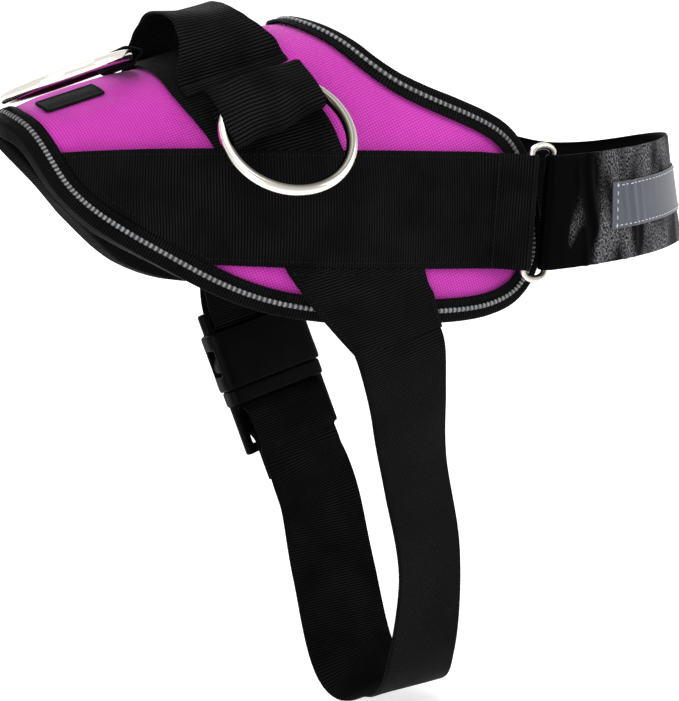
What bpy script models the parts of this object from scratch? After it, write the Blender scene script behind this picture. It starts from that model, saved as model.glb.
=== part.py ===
"""A saddle-type no-pull dog harness, built from separate pieces with real joints.

The frame: +X runs forward along the dog's spine, +Y to the dog's left, +Z up, in metres. The
origin lies on the dog's back, on the underside of the saddle's ridge below the carrying handle.
Pieces that lie on the saddle are drawn in its flat pattern: x along the ridge, d down a flap
from the ridge, and h above the saddle's outer face. The function skin bends that pattern over
the dog's back.
"""

from math import cos, pi, radians, sin

import bmesh
import bpy
import numpy as np

MM = 0.001

# Webbing, cloth and clearances
WEBBING_WIDTH = 50 * MM
WEBBING_THICK = 1.5 * MM
GIRTH_WIDTH = 40 * MM
KEEPER_WIDTH = 25 * MM
SEAT_GAP = 0.3 * MM
RIDGE_GAP = 0.6 * MM
LEG_GAP = 0.7 * MM
UNDER_GAP = 1.4 * MM
FLAP_GAP = 1.0 * MM

# The saddle's sandwich and its bend over the back
SHELL_THICK = 1.0 * MM
FOAM_THICK = 3.8 * MM
LINING_THICK = 0.8 * MM
EDGE_DROP = 1.6 * MM
EDGE_RUN = 16 * MM
FLAP_TILT = radians(100)
TILT_LENGTH = 65 * MM
TUCK = 24 * MM
TUCK_FRONT = 20 * MM
TUCK_RUN = 110 * MM
TUCK_TOP = 8 * MM
TUCK_HEIGHT = 72 * MM
FAR_FOLD = 20 * MM
FAR_FOLD_X = -55 * MM
FAR_FOLD_RUN = 54 * MM

# Half of the flat pattern, rear tip to nose to front notch: (x, d) on the binding's outer edge
REAR_EDGE = [
    (-111, 0), (-110.5, 16), (-101.5, 62), (-72, 101),
    (-29, 137), (43, 163), (78, 167), (97, 153),
]
NOSE_TIP = (103, 127)
FRONT_EDGE = [(104, 107), (95, 86), (60, 54), (46.5, 25), (40, 0)]

# Edge binding and its reflective piping
BINDING_THICK = 0.8 * MM
BINDING_OUTSIDE = 11 * MM
BINDING_INSIDE = 9 * MM
PIPING_WIDTH = 2.1 * MM
PIPING_HEIGHT = 0.9 * MM
PIPING_INSET = 5.7 * MM

# Side bands, from the rear binding forward to the link rings
BAND_DROP = 97.7 * MM
BAND_SLOPE = radians(17.8)
LINK_REACH = 95.5 * MM
LINK_FOLD = 11.5 * MM
BAND_STITCH = LINK_REACH - LINK_FOLD
LINK_WIRE = 3 * MM
LINK_SPACING = 11 * MM
LINK_BOW = 3.5 * MM
LINK_PLAY = 0.5 * MM
LINK_LIFT = 7.6 * MM
BARTACK_WIDTH = 3 * MM
BARTACK_THICK = 0.5 * MM

# Chest strap between the link rings
CHEST_DEPTH = 107 * MM
CHEST_PITCH = 0.08
PITCH_END = radians(49)
PITCH_RUN = radians(77)
CHEST_LEAN = radians(43)
LEAN_START = radians(13)
LEAN_RUN = radians(140)
TAB_LENGTH = 46 * MM
STRIP_WIDTH = 21 * MM
STRIP_THICK = 0.6 * MM
STRIP_START = radians(16.8)

# Carrying handle, its base strap and the O-rings in its folded ends
HANDLE_X = -12 * MM
BASE_X = -16 * MM
BASE_SKEW = 8 * MM
SKEW_TOP = 25 * MM
SKEW_RUN = 42 * MM
HANDLE_FOOT = 33 * MM
HANDLE_SEAT = 5 * MM
HANDLE_RISE = 16.5 * MM
GRIP_WIDTH = 31 * MM
GRIP_LEAN = radians(8)
RING_X = -8 * MM
RING_LOOP_WIDTH = 46 * MM
RING_OUTSIDE = 60 * MM
RING_WIRE = 5 * MM
RING_SLOPE = radians(48)

# Leash ring along the rear of the ridge, and the bare tab beside it
LEASH_HINGE_X = -42.5 * MM
LEASH_LIFT = 6.4 * MM
LEASH_ROLL = radians(16)
LABEL_LENGTH = 28 * MM
LABEL_WIDTH = 12 * MM
LABEL_THICK = 1.0 * MM
LABEL_X = -79 * MM
LABEL_DROP = 9 * MM

# Girth strap: its trapezoid anchors on the flaps and its route round the dog
ANCHOR_TOP = 60 * MM
ANCHOR_TOP_X = 8 * MM
GIRTH_X = 22 * MM
TAIL_LENGTH = 14 * MM
ANCHOR_END = 163 * MM
FAR_ANCHOR_END = 145 * MM
GIRTH_ROUTE = [
    (22, -67, -141, 0), (20.6, -60.1, -165.6, -5), (21.9, -51.3, -198.5, -14), (22.4, -45.3, -244, -13),
    (14.2, -31.8, -293.4, -3), (14.9, -5.8, -313, 9), (11.3, 22.5, -306.5, -12),
    (16.6, 35.5, -264.7, -11), (21.5, 43.5, -233, -6),
]

# Side-release buckle on the far side
BUCKLE_MOUTH = (19, 61.3, -172)
BUCKLE_TILT = radians(16.8)
FEMALE_WIDTH = 51 * MM
FEMALE_THICK = 13 * MM
FEMALE_BODY = 27 * MM
FEMALE_SHOULDER = 1 * MM
FEMALE_SLOT = 5 * MM
CAVITY_WIDTH = 44 * MM
CAVITY_THICK = 7.6 * MM
CAVITY_DEPTH = 23.5 * MM
WINDOW_START = 7 * MM
WINDOW_LENGTH = 13 * MM
BAR_THICK = 5 * MM
BAR_LENGTH = 4 * MM
FEMALE_LENGTH = FEMALE_BODY + FEMALE_SHOULDER + FEMALE_SLOT + BAR_LENGTH
MALE_BASE = 7.5 * MM
MALE_LENGTH = 31 * MM
SLOT_PLAY = 0.6 * MM
RAIL_WIDTH = 4 * MM
LADDER_BAR = 4 * MM
LADDER_THICK = 3.6 * MM
MIDDLE_BAR = -17 * MM
TONGUE_WIDTH = 6 * MM
TONGUE_LENGTH = 19 * MM
PRONG_ROOT = 12 * MM
PRONG_ARM = 4 * MM
PRONG_REACH = 24.4 * MM
PRONG_PLAY = 0.4 * MM

# Resolution of the faceted solids
RING_SIDES = 8
RING_STEPS = 28
REAR_SHARES = np.r_[np.linspace(0, 1, 20)[:-2] ** 1.35, 0.95, 1]
FRONT_SHARES = np.array([0, 0.06, 0.13, 0.22, 0.34, 0.5, 0.7, 0.87, 0.95, 1])

OVER_EDGE = LEG_GAP + BINDING_THICK + SEAT_GAP + PIPING_HEIGHT + SEAT_GAP
SANDWICH = SHELL_THICK + SEAT_GAP + FOAM_THICK + SEAT_GAP + LINING_THICK
RIGHT, LEFT = -1, 1

COLOURS = {
    "fuchsia_nylon": ((0.62, 0.05, 0.45), 0.75, 0.0),
    "grey_foam": ((0.25, 0.25, 0.26), 0.95, 0.0),
    "black_lining": ((0.012, 0.012, 0.013), 0.9, 0.0),
    "black_webbing": ((0.011, 0.011, 0.012), 0.7, 0.0),
    "black_binding": ((0.012, 0.012, 0.013), 0.65, 0.0),
    "reflective_grey": ((0.42, 0.42, 0.44), 0.45, 0.0),
    "nickel_steel": ((0.78, 0.77, 0.74), 0.18, 1.0),
    "black_pile": ((0.014, 0.014, 0.016), 0.55, 0.0),
    "black_acetal": ((0.018, 0.018, 0.02), 0.42, 0.0),
    "black_rubber": ((0.02, 0.02, 0.021), 0.6, 0.0),
}


def smooth_step(value):
    """0 below 0, 1 above 1, and a smooth rise between them."""
    value = np.clip(value, 0, 1)
    return value * value * (3 - 2 * value)


def through(points, steps, closed=False):
    """Points along a smooth curve through the given ones, with this many steps a span."""
    points = np.asarray(points, float)
    count = len(points)
    spans = count if closed else count - 1
    curve = []
    for i in range(spans):
        if closed:
            a, b, c, d = (points[(i + k) % count] for k in (-1, 0, 1, 2))
        else:
            b, c = points[i], points[i + 1]
            a = points[i - 1] if i > 0 else 2 * b - c
            d = points[i + 2] if i + 2 < count else 2 * c - b
        for k in range(steps):
            t = k / steps
            square = (2 * a - 5 * b + 4 * c - d) * t**2
            cube = (3 * b - a - 3 * c + d) * t**3
            curve.append(0.5 * (2 * b + (c - a) * t + square + cube))
    if not closed:
        curve.append(points[-1])
    return np.array(curve)


def along(points, shares):
    """Rows at these shares of a pattern polyline's length; columns after the first two come along."""
    lengths = np.r_[0, np.cumsum(np.linalg.norm(np.diff(points[:, :2], axis=0), axis=1))]
    places = np.asarray(shares) * lengths[-1]
    return np.stack([np.interp(places, lengths, points[:, k]) for k in range(points.shape[1])], -1)


def outline_halves():
    """The pattern's edge on one flap: rear tip to nose, and front notch to nose."""
    half = np.array(REAR_EDGE + [NOSE_TIP] + FRONT_EDGE) * MM
    mirrored = half[-2:0:-1] * (1, -1)
    curve = through(np.concatenate([half, mirrored]), 8, closed=True)
    nose = 8 * len(REAR_EDGE)
    notch = 8 * (len(half) - 1)
    return curve[: nose + 1], curve[nose : notch + 1][::-1], curve


REAR_CURVE, FRONT_CURVE, OUTLINE = outline_halves()


def inward_normals(curve):
    """Unit normals of a closed pattern curve, pointing into the panel."""
    tangent = np.roll(curve, -1, axis=0) - np.roll(curve, 1, axis=0)
    tangent /= np.linalg.norm(tangent, axis=1)[:, None]
    return np.stack([tangent[:, 1], -tangent[:, 0]], -1)


def edge_distance(x, d):
    """How far a pattern point lies inside the binding's outer edge; 0 outside it."""
    points = np.stack([x, d], -1).reshape(-1, 2)
    start, end = OUTLINE, np.roll(OUTLINE, -1, axis=0)
    run = end - start
    share = ((points[:, None] - start) * run).sum(-1) / (run**2).sum(-1)
    nearest = start + np.clip(share, 0, 1)[..., None] * run
    distance = np.linalg.norm(points[:, None] - nearest, axis=-1).min(1)
    above = (start[:, 1] > points[:, 1:]) != (end[:, 1] > points[:, 1:])
    rise = np.where(run[:, 1] == 0, 1, run[:, 1])
    crossing = start[:, 0] + (points[:, 1:] - start[:, 1]) / rise * run[:, 0]
    inside = (above & (points[:, :1] < crossing)).sum(1) % 2 == 1
    return np.where(inside, distance, 0).reshape(np.shape(x))


def section_table():
    """The outer face's cross-section: arc length, half width and height below the ridge."""
    length = np.linspace(0, 0.4, 4001)
    tilt = FLAP_TILT * (1 - np.exp(-length / TILT_LENGTH))
    step = length[1]
    width = np.r_[0, np.cumsum((np.cos(tilt[1:]) + np.cos(tilt[:-1])) / 2 * step)]
    height = -np.r_[0, np.cumsum((np.sin(tilt[1:]) + np.sin(tilt[:-1])) / 2 * step)]
    return length, width, height


SECTION = section_table()


def outer_face(x, d):
    """The outer face before its edge drop.

    The flaps hang from the ridge and close to the rear, and the left flap's rear corner rolls in.
    """
    drop = np.abs(d)
    tuck = TUCK * smooth_step((TUCK_FRONT - x) / TUCK_RUN) * smooth_step((drop - TUCK_TOP) / TUCK_HEIGHT)
    fold = smooth_step((FAR_FOLD_X - x) / FAR_FOLD_RUN) * smooth_step((d - TUCK_TOP) / TUCK_HEIGHT)
    y = np.sign(d) * (np.interp(drop, SECTION[0], SECTION[1]) - tuck) - FAR_FOLD * fold
    z = np.interp(drop, SECTION[0], SECTION[2]) + SANDWICH + FAR_FOLD / 2 * fold
    return np.stack([x, y, z], -1)


def skin(x, d, h, crowned=True):
    """World points at pattern place (x, d) and height h; d is negative on the dog's right."""
    x, d, h = np.broadcast_arrays(np.asarray(x, float), np.asarray(d, float), np.asarray(h, float))
    step = 0.5 * MM
    forward = outer_face(x + step, d) - outer_face(x - step, d)
    across = outer_face(x, d + step) - outer_face(x, d - step)
    normal = np.cross(forward, across)
    normal /= np.linalg.norm(normal, axis=-1, keepdims=True)
    if crowned:
        h = h - EDGE_DROP * (1 - smooth_step(edge_distance(x, d) / EDGE_RUN))
    return outer_face(x, d) + h[..., None] * normal


def material_of(name):
    """The Principled material of this name, made once."""
    if name in bpy.data.materials:
        return bpy.data.materials[name]
    colour, roughness, metallic = COLOURS[name]
    material = bpy.data.materials.new(name)
    material.use_nodes = True
    shader = material.node_tree.nodes["Principled BSDF"]
    shader.inputs["Base Color"].default_value = (*colour, 1)
    shader.inputs["Roughness"].default_value = roughness
    shader.inputs["Metallic"].default_value = metallic
    return material


def add_object(name, shape, material, origin=(0, 0, 0)):
    """An object from a bmesh in world space, with its origin on the given point."""
    bmesh.ops.remove_doubles(shape, verts=shape.verts, dist=1e-6)
    bmesh.ops.dissolve_degenerate(shape, edges=shape.edges, dist=1e-6)
    bmesh.ops.recalc_face_normals(shape, faces=shape.faces)
    bmesh.ops.translate(shape, verts=shape.verts, vec=-np.asarray(origin, float))
    mesh = bpy.data.meshes.new(name)
    shape.to_mesh(mesh)
    shape.free()
    mesh.materials.append(material_of(material))
    mesh.shade_smooth()
    mesh.set_sharp_from_angle(angle=radians(40))
    obj = bpy.data.objects.new(name, mesh)
    obj.location = origin
    bpy.context.scene.collection.objects.link(obj)
    return obj


def swept(sections, closed=False):
    """A bmesh from profiles carried along a path: sections is path steps x profile points x 3."""
    shape = bmesh.new()
    rows = [[shape.verts.new(point) for point in section] for section in sections]
    count = len(rows[0])
    for i in range(len(rows) if closed else len(rows) - 1):
        here, there = rows[i], rows[(i + 1) % len(rows)]
        for k in range(count):
            shape.faces.new((here[k], here[(k + 1) % count], there[(k + 1) % count], there[k]))
    if not closed:
        shape.faces.new(rows[0])
        shape.faces.new(rows[-1])
    return shape


def slab(top, bottom):
    """A bmesh between two grids of points, split along the same diagonals so that stacked slabs nest."""
    shape = bmesh.new()
    layers = [[[shape.verts.new(point) for point in row] for row in grid] for grid in (top, bottom)]
    rows, columns = len(top), len(top[0])
    for grid in layers:
        for i in range(rows - 1):
            for k in range(columns - 1):
                shape.faces.new((grid[i][k], grid[i][k + 1], grid[i + 1][k + 1]))
                shape.faces.new((grid[i][k], grid[i + 1][k + 1], grid[i + 1][k]))
    edge = [(0, k) for k in range(columns)] + [(i, columns - 1) for i in range(1, rows)]
    edge += [(rows - 1, k) for k in range(columns - 2, -1, -1)]
    edge += [(i, 0) for i in range(rows - 2, 0, -1)]
    for (i, k), (m, n) in zip(edge, edge[1:] + edge[:1]):
        shape.faces.new((layers[0][i][k], layers[0][m][n], layers[1][m][n], layers[1][i][k]))
    return shape


def offset_band(path, thick):
    """The closed outline of a strap of this thickness, seen along its width, from its middle line."""
    path = np.asarray(path, float)
    tangent = np.gradient(path, axis=0)
    tangent /= np.linalg.norm(tangent, axis=1)[:, None]
    normal = np.stack([-tangent[:, 1], tangent[:, 0]], -1)
    return path + normal * thick / 2, path - normal * thick / 2


def strap_ways(path, width_ways):
    """Unit vectors across a strap and square to its face, at each point of its path."""
    tangent = np.gradient(path, axis=0)
    tangent /= np.linalg.norm(tangent, axis=1)[:, None]
    side = width_ways - (width_ways * tangent).sum(1)[:, None] * tangent
    side /= np.linalg.norm(side, axis=1)[:, None]
    return side, np.cross(tangent, side)


def ribbon(path, width_ways, widths, thick, across=(-0.5, 0.5)):
    """A bmesh of a strap along a path in space; width_ways are unit vectors across it."""
    path = np.asarray(path, float)
    side, normal = strap_ways(path, width_ways)
    strands = np.multiply.outer(np.broadcast_to(widths, len(path)), across)
    middle = path[:, None] + strands[..., None] * side[:, None]
    up = normal[:, None] * thick / 2
    return slab(middle + up, middle - up)


def wire_loop(centres, out_ways, axis, radius):
    """A bmesh of round wire round a closed path that lies in the plane square to axis."""
    turn = np.linspace(0, 2 * pi, RING_SIDES, endpoint=False)
    sections = [
        centre + radius * (np.outer(np.cos(turn), out) + np.outer(np.sin(turn), axis))
        for centre, out in zip(centres, out_ways)
    ]
    return swept(sections, closed=True)


def pattern_slab(x, d, low, high):
    """A bmesh of a flat piece lying on the saddle over a grid of pattern places."""
    return slab(skin(x, d, high), skin(x, d, low))


def edge_stations():
    """Rows of (x, d, normal x, normal d) on the binding's edge: rear tip to nose, notch to nose."""
    rows = np.hstack([OUTLINE, inward_normals(OUTLINE)])
    nose = len(REAR_CURVE) - 1
    rear = along(rows[: nose + 1], REAR_SHARES)
    front = along(rows[nose : nose + len(FRONT_CURVE)][::-1], FRONT_SHARES)
    return rear, front


def edge_ring():
    """The same rows all round the saddle's edge, as places and inward normals."""
    rear, front = edge_stations()
    half = np.concatenate([rear, front[-2::-1]])
    rows = np.concatenate([half, half[-2:0:-1] * (1, -1, 1, -1)])
    return rows[:, :2], rows[:, 2:]


def panel_grid():
    """The sandwich's pattern grid: stations from the rear tip to the front edge, ridge to edges."""
    inset = BINDING_THICK + 4 * SEAT_GAP
    rear, front = (rows[:, :2] + rows[:, 2:] * inset for rows in edge_stations())
    shares, across = REAR_SHARES, FRONT_SHARES
    ridge = np.stack([rear[0, 0] + (front[0, 0] - rear[0, 0]) * shares, 0 * shares], -1)
    grid = (1 - across)[None, :, None] * ridge[:, None] + across[None, :, None] * rear[:, None]
    straight = (1 - across)[:, None] * ridge[-1] + across[:, None] * rear[-1]
    grid += (shares**2)[:, None, None] * (front - straight)[None]
    x = np.concatenate([grid[:, :0:-1, 0], grid[..., 0]], 1)
    d = np.concatenate([-grid[:, :0:-1, 1], grid[..., 1]], 1)
    return x, d


def make_saddle():
    """The padded saddle: woven shell, foam and lining, edged with a folded binding and piping."""
    x, d = panel_grid()
    foam_top = -SHELL_THICK - SEAT_GAP
    foam_low = foam_top - FOAM_THICK
    lining_top = foam_low - SEAT_GAP
    add_object("saddle_shell", slab(skin(x, d, 0), skin(x, d, -SHELL_THICK)), "fuchsia_nylon")
    add_object("saddle_foam", slab(skin(x, d, foam_top), skin(x, d, foam_low, False)), "grey_foam")
    lining = slab(skin(x, d, lining_top, False), skin(x, d, -SANDWICH, False))
    add_object("saddle_lining", lining, "black_lining")

    edge, inward = edge_ring()
    above = LEG_GAP + BINDING_THICK
    below = -SANDWICH - UNDER_GAP
    half = PIPING_WIDTH / 2
    outside = [(0, above), (PIPING_INSET - half, above), (PIPING_INSET + half, above)]
    outside += [(BINDING_OUTSIDE, above), (BINDING_OUTSIDE, LEG_GAP), (BINDING_THICK, LEG_GAP)]
    inside = [
        (BINDING_THICK, below), (BINDING_INSIDE, below),
        (BINDING_INSIDE, below - BINDING_THICK), (0, below - BINDING_THICK),
    ]
    fold = [(place, height, True) for place, height in outside]
    fold += [(place, height, False) for place, height in inside]
    add_object("edge_binding", swept(round_the_edge(edge, inward, fold), closed=True), "black_binding")

    low = above + SEAT_GAP
    bead = [(-half, low), (half, low), (half, low + PIPING_HEIGHT / 2), (0, low + PIPING_HEIGHT)]
    bead.append((-half, low + PIPING_HEIGHT / 2))
    bead = [(PIPING_INSET + place, height, True) for place, height in bead]
    shape = swept(round_the_edge(edge, inward, bead), closed=True)
    add_object("reflective_piping", shape, "reflective_grey")


def round_the_edge(edge, inward, profile):
    """Sections of a profile of (inset, height, crowned) carried round the saddle's edge."""
    columns = []
    for inset, height, crowned in profile:
        place = edge + inward * inset
        columns.append(skin(place[:, 0], place[:, 1], height, crowned))
    return np.stack(columns, 1)


def band_place(u, v):
    """Pattern place (x, drop) at u along a side band and v across it, positive down the flap."""
    x = u * cos(BAND_SLOPE) - v * sin(BAND_SLOPE)
    drop = BAND_DROP + u * sin(BAND_SLOPE) + v * cos(BAND_SLOPE)
    return x, drop


def link_frame(side):
    """A link ring's rear bar: its middle, and the ways forward along the band and up along the bar."""
    x, drop = band_place(LINK_REACH, 0)
    middle = outer_face(np.array(x), np.array(side * drop))
    middle[1] += side * LINK_LIFT
    forward = np.array([cos(BAND_SLOPE), 0, -sin(BAND_SLOPE)])
    up = np.array([sin(BAND_SLOPE), 0, cos(BAND_SLOPE)])
    return middle, forward, up


def band_starts(v):
    """Where each strand of a side band comes out from under the rear binding."""
    u = np.linspace(-160 * MM, 0, 1601)
    starts = []
    for strand in v:
        inset = edge_distance(*band_place(u, strand))
        starts.append(u[np.argmax(inset > BINDING_OUTSIDE + SEAT_GAP)])
    return np.array(starts)


def make_side_band(name, side):
    """A side band: flat on the flap, then round the link ring's rear bar and sewn back under itself."""
    half = WEBBING_WIDTH / 2
    v = np.linspace(-half, half, 5)
    flat = FLAP_GAP + WEBBING_THICK / 2
    upper = flat + WEBBING_THICK + SEAT_GAP
    turn = LINK_WIRE / 2 + SEAT_GAP + WEBBING_THICK / 2
    lift_start = BAND_STITCH - 12 * MM
    arc = np.radians(np.linspace(112, -100, 9))
    wrap = np.stack([LINK_REACH + turn * np.cos(arc), LINK_LIFT + turn * np.sin(arc)], -1)
    step = flat + 0.6 * (upper - flat)
    rise = [(lift_start, flat), (BAND_STITCH - 5 * MM, step), (BAND_STITCH, upper)]
    rise.append(((BAND_STITCH + LINK_REACH) / 2, (upper + LINK_LIFT + turn) / 2 + 0.4 * MM))
    tuck_under = [((BAND_STITCH + LINK_REACH) / 2, (flat + LINK_LIFT - turn) / 2)]
    tuck_under.append((BAND_STITCH - 1 * MM, flat))
    front = np.concatenate([rise, wrap, tuck_under])
    lying = np.linspace(0, 1, 15)[:-1]
    path = np.concatenate([np.stack([lift_start * lying - (1 - lying), 0 * lying + flat], -1), front])
    top, bottom = offset_band(path, WEBBING_THICK)
    profile = np.concatenate([top, bottom[::-1]])
    share = np.r_[lying, np.full(len(front), 2.0)]
    share = np.r_[share, share[::-1]]

    starts = band_starts(v)
    middle, forward, up = link_frame(side)
    sections = []
    for strand, start in zip(v, starts):
        u = np.where(share < 1, start + (lift_start - start) * np.minimum(share, 1), profile[:, 0])
        h = profile[:, 1]
        x, drop = band_place(u, strand)
        laid = skin(x, side * drop, h)
        stiff = middle + np.outer(u - LINK_REACH, forward) - strand * up
        stiff[:, 1] += side * (h - LINK_LIFT)
        blend = smooth_step((u - lift_start) / (BAND_STITCH - lift_start))[:, None]
        sections.append(laid * (1 - blend) + stiff * blend)
    add_object(name, swept(sections), "black_webbing")


def make_bartack(name, side):
    """The sewn row that closes a side band's fold behind its link ring."""
    middle, forward, up = link_frame(side)
    out = np.array([0, side, 0])
    height = FLAP_GAP + 2 * (WEBBING_THICK + SEAT_GAP) - LINK_LIFT
    reach = BAND_STITCH - LINK_REACH - BARTACK_WIDTH
    corners = []
    for lift in (height, height + BARTACK_THICK):
        for place in (-BARTACK_WIDTH / 2, BARTACK_WIDTH / 2):
            corners.append(middle + (reach + place) * forward + lift * out)
    square = [corners[0], corners[1], corners[3], corners[2]]
    length = WEBBING_WIDTH / 2 - 1 * MM
    ends = [[p - length * up for p in square], [p + length * up for p in square]]
    add_object(name, swept(ends), "black_webbing")


def make_link_ring(name, side):
    """A long wire link with half-ellipse ends: a bar in the side band, a bar in the chest strap."""
    middle, forward, up = link_frame(side)
    straight = WEBBING_WIDTH / 2 + LINK_PLAY
    centres, ways = [], []
    for end, start in ((1, 0), (-1, pi)):
        for angle in np.linspace(start, start + pi, 9):
            ahead = LINK_SPACING / 2 * (1 + cos(angle))
            level = end * straight + LINK_BOW * sin(angle)
            way = LINK_BOW * cos(angle) * forward + LINK_SPACING / 2 * sin(angle) * up
            centres.append(middle + ahead * forward + level * up)
            ways.append(way / np.linalg.norm(way))
    axis = np.array([0.0, 1.0, 0.0])
    shape = wire_loop(centres, ways, axis, LINK_WIRE / 2)
    add_object(name, shape, "nickel_steel", middle)


def chest_point(turn, lift=0.0):
    """A point of the chest strap's middle line at this turn, 0 at the right link, pi at the left."""
    right, forward, up = link_frame(RIGHT)
    reach = LINK_WIRE / 2 + SEAT_GAP + WEBBING_THICK / 2
    half = abs(right[1]) + reach
    turn = np.asarray(turn, float)
    ahead = (CHEST_DEPTH + lift) * np.sin(turn)
    across = -(half + lift) * np.cos(turn)
    base = right + LINK_SPACING * forward
    base = base * (1, 0, 1)
    rise = CHEST_PITCH * ahead * (1 - smooth_step((turn - PITCH_END) / PITCH_RUN))
    base = base + rise[..., None] * up
    return base + ahead[..., None] * forward + across[..., None] * np.array([0, 1.0, 0])


def chest_up(turn):
    """The strap's width way at each turn: upright, with the left half leaning in."""
    _, forward, up = link_frame(RIGHT)
    rise = smooth_step((turn - LEAN_START) / LEAN_RUN)
    lean = CHEST_LEAN * rise * smooth_step((radians(172) - turn) / radians(45))
    inward = -np.outer(np.sin(turn), forward) + np.outer(np.cos(turn), [0, 1.0, 0])
    return np.cos(lean)[:, None] * up + np.sin(lean)[:, None] * inward


def wrap_points(side):
    """The chest strap's turn round a link ring's front bar, from its inner end to its outer end."""
    middle, forward, _ = link_frame(side)
    bar = middle + LINK_SPACING * forward
    reach = LINK_WIRE / 2 + SEAT_GAP + WEBBING_THICK / 2
    angle = np.radians(np.linspace(0, 180, 9))
    out = np.array([0, side, 0])
    return bar - reach * np.outer(np.sin(angle), forward) - reach * np.outer(np.cos(angle), out)


def make_chest_strap():
    """The chest strap: round the front bar of each link and across the dog's breastbone."""
    turn = np.linspace(0, pi, 33)[1:-1]
    path = np.concatenate([wrap_points(RIGHT), chest_point(turn), wrap_points(LEFT)[::-1]])
    _, _, up = link_frame(RIGHT)
    ends = np.tile(up, (9, 1))
    ways = np.concatenate([ends, chest_up(turn), ends])
    bar = link_frame(RIGHT)[0] + LINK_SPACING * link_frame(RIGHT)[1]
    strip_edge = STRIP_WIDTH / WEBBING_WIDTH / 2
    across = (-0.5, -strip_edge, strip_edge, 0.5)
    strap = ribbon(path, ways, WEBBING_WIDTH, WEBBING_THICK, across)
    add_object("chest_strap", strap, "black_pile", bar)

    sewn = (turn >= STRIP_START) & (turn <= pi - STRIP_START)
    _, out = strap_ways(chest_point(turn), chest_up(turn))
    lift = WEBBING_THICK / 2 + SEAT_GAP + STRIP_THICK / 2
    line = (chest_point(turn) + lift * out)[sewn]
    strip = ribbon(line, chest_up(turn)[sewn], STRIP_WIDTH, STRIP_THICK)
    add_object("reflective_strip", strip, "reflective_grey", bar)


def make_chest_tab(name, side):
    """The strap's hook-faced end, folded back inside the strap from the link's front bar."""
    middle, forward, _ = link_frame(side)
    bar = middle + LINK_SPACING * forward
    reach = LINK_WIRE / 2 + SEAT_GAP + WEBBING_THICK / 2
    ahead = np.linspace(3 * SEAT_GAP, TAB_LENGTH, 12)
    turn = np.arcsin(ahead / CHEST_DEPTH)
    turn = turn if side == RIGHT else pi - turn
    laid = chest_point(turn, -WEBBING_THICK - 1.5 * SEAT_GAP)
    start = bar + np.outer(ahead, forward) - np.array([0, side * reach, 0])
    blend = smooth_step((ahead - 3 * SEAT_GAP) / (18 * MM))[:, None]
    path = start * (1 - blend) + laid * blend
    tab = ribbon(path, chest_up(turn), WEBBING_WIDTH - 2 * MM, WEBBING_THICK)
    add_object(name, tab, "black_webbing", bar)


def make_base_strap():
    """The webbing sewn across the ridge below the handle, ending against the side bands."""
    half = WEBBING_WIDTH / 2
    x = np.linspace(BASE_X - half, BASE_X + half, 5)
    gap = 2 * SEAT_GAP / cos(BAND_SLOPE)
    band_top = BAND_DROP + (x + BASE_SKEW) * np.tan(BAND_SLOPE) - half / cos(BAND_SLOPE) - gap
    share = np.linspace(-1, 1, 25)
    d = share[:, None] * band_top
    skewed = x + BASE_SKEW * smooth_step((np.abs(d) - SKEW_TOP) / SKEW_RUN)
    shape = pattern_slab(skewed, d, RIDGE_GAP, RIDGE_GAP + WEBBING_THICK)
    add_object("handle_base_strap", shape, "black_webbing")


def handle_seat(drop, side, ahead=0.0):
    """A point at the middle of a strap that lies on the base strap's top."""
    height = RIDGE_GAP + WEBBING_THICK + 2 * SEAT_GAP + WEBBING_THICK / 2
    return skin(HANDLE_X + ahead, side * drop, height)


def make_handle():
    """The carrying handle: sewn down at both feet, arched over the ridge and leaning back."""
    feet = [handle_seat(HANDLE_FOOT - k * HANDLE_SEAT / 2, RIGHT) for k in range(3)]
    ridge = handle_seat(0, RIGHT)
    out = abs(feet[-1][1])
    top = ridge[2] + HANDLE_RISE - WEBBING_THICK
    low = feet[-1][2]
    arch = [
        (HANDLE_X, -share * out, low + height * (top - low))
        for share, height in ((0.95, 0.22), (0.86, 0.46), (0.72, 0.7), (0.42, 0.94), (0, 1))
    ]
    near = np.array(feet + arch)
    far = near[-2::-1] * (1, -1, 1)
    path = through(np.concatenate([near, far]), 3)
    lift = smooth_step((path[:, 2] - low) / (top - low))
    widths = WEBBING_WIDTH + (GRIP_WIDTH - WEBBING_WIDTH) * lift
    lean = GRIP_LEAN * lift
    half = WEBBING_WIDTH / 2
    seat = handle_seat(HANDLE_FOOT, RIGHT, half) - handle_seat(HANDLE_FOOT, RIGHT, -half)
    seat = np.stack([0 * lift + seat[0], -np.sign(path[:, 1]) * seat[1], 0 * lift + seat[2]], -1)
    grip = np.stack([np.cos(lean), 0 * lean, -np.sin(lean)], -1)
    ways = seat / np.linalg.norm(seat, axis=1)[:, None] * (1 - lift[:, None]) + grip * lift[:, None]
    add_object("top_handle", ribbon(path, ways, widths, WEBBING_THICK), "black_webbing")


def sleeve_length(width):
    """The inside length of a folded sleeve of this width that holds its piece of an O-ring."""
    inside = RING_OUTSIDE / 2 - RING_WIRE
    return RING_OUTSIDE / 2 - np.sqrt(inside**2 - (width / 2) ** 2) + 3 * SEAT_GAP


def ring_centre_reach():
    """How far an O-ring's centre lies from its sleeve's sewn end."""
    return SEAT_GAP + WEBBING_THICK + SEAT_GAP + RING_OUTSIDE / 2


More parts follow.
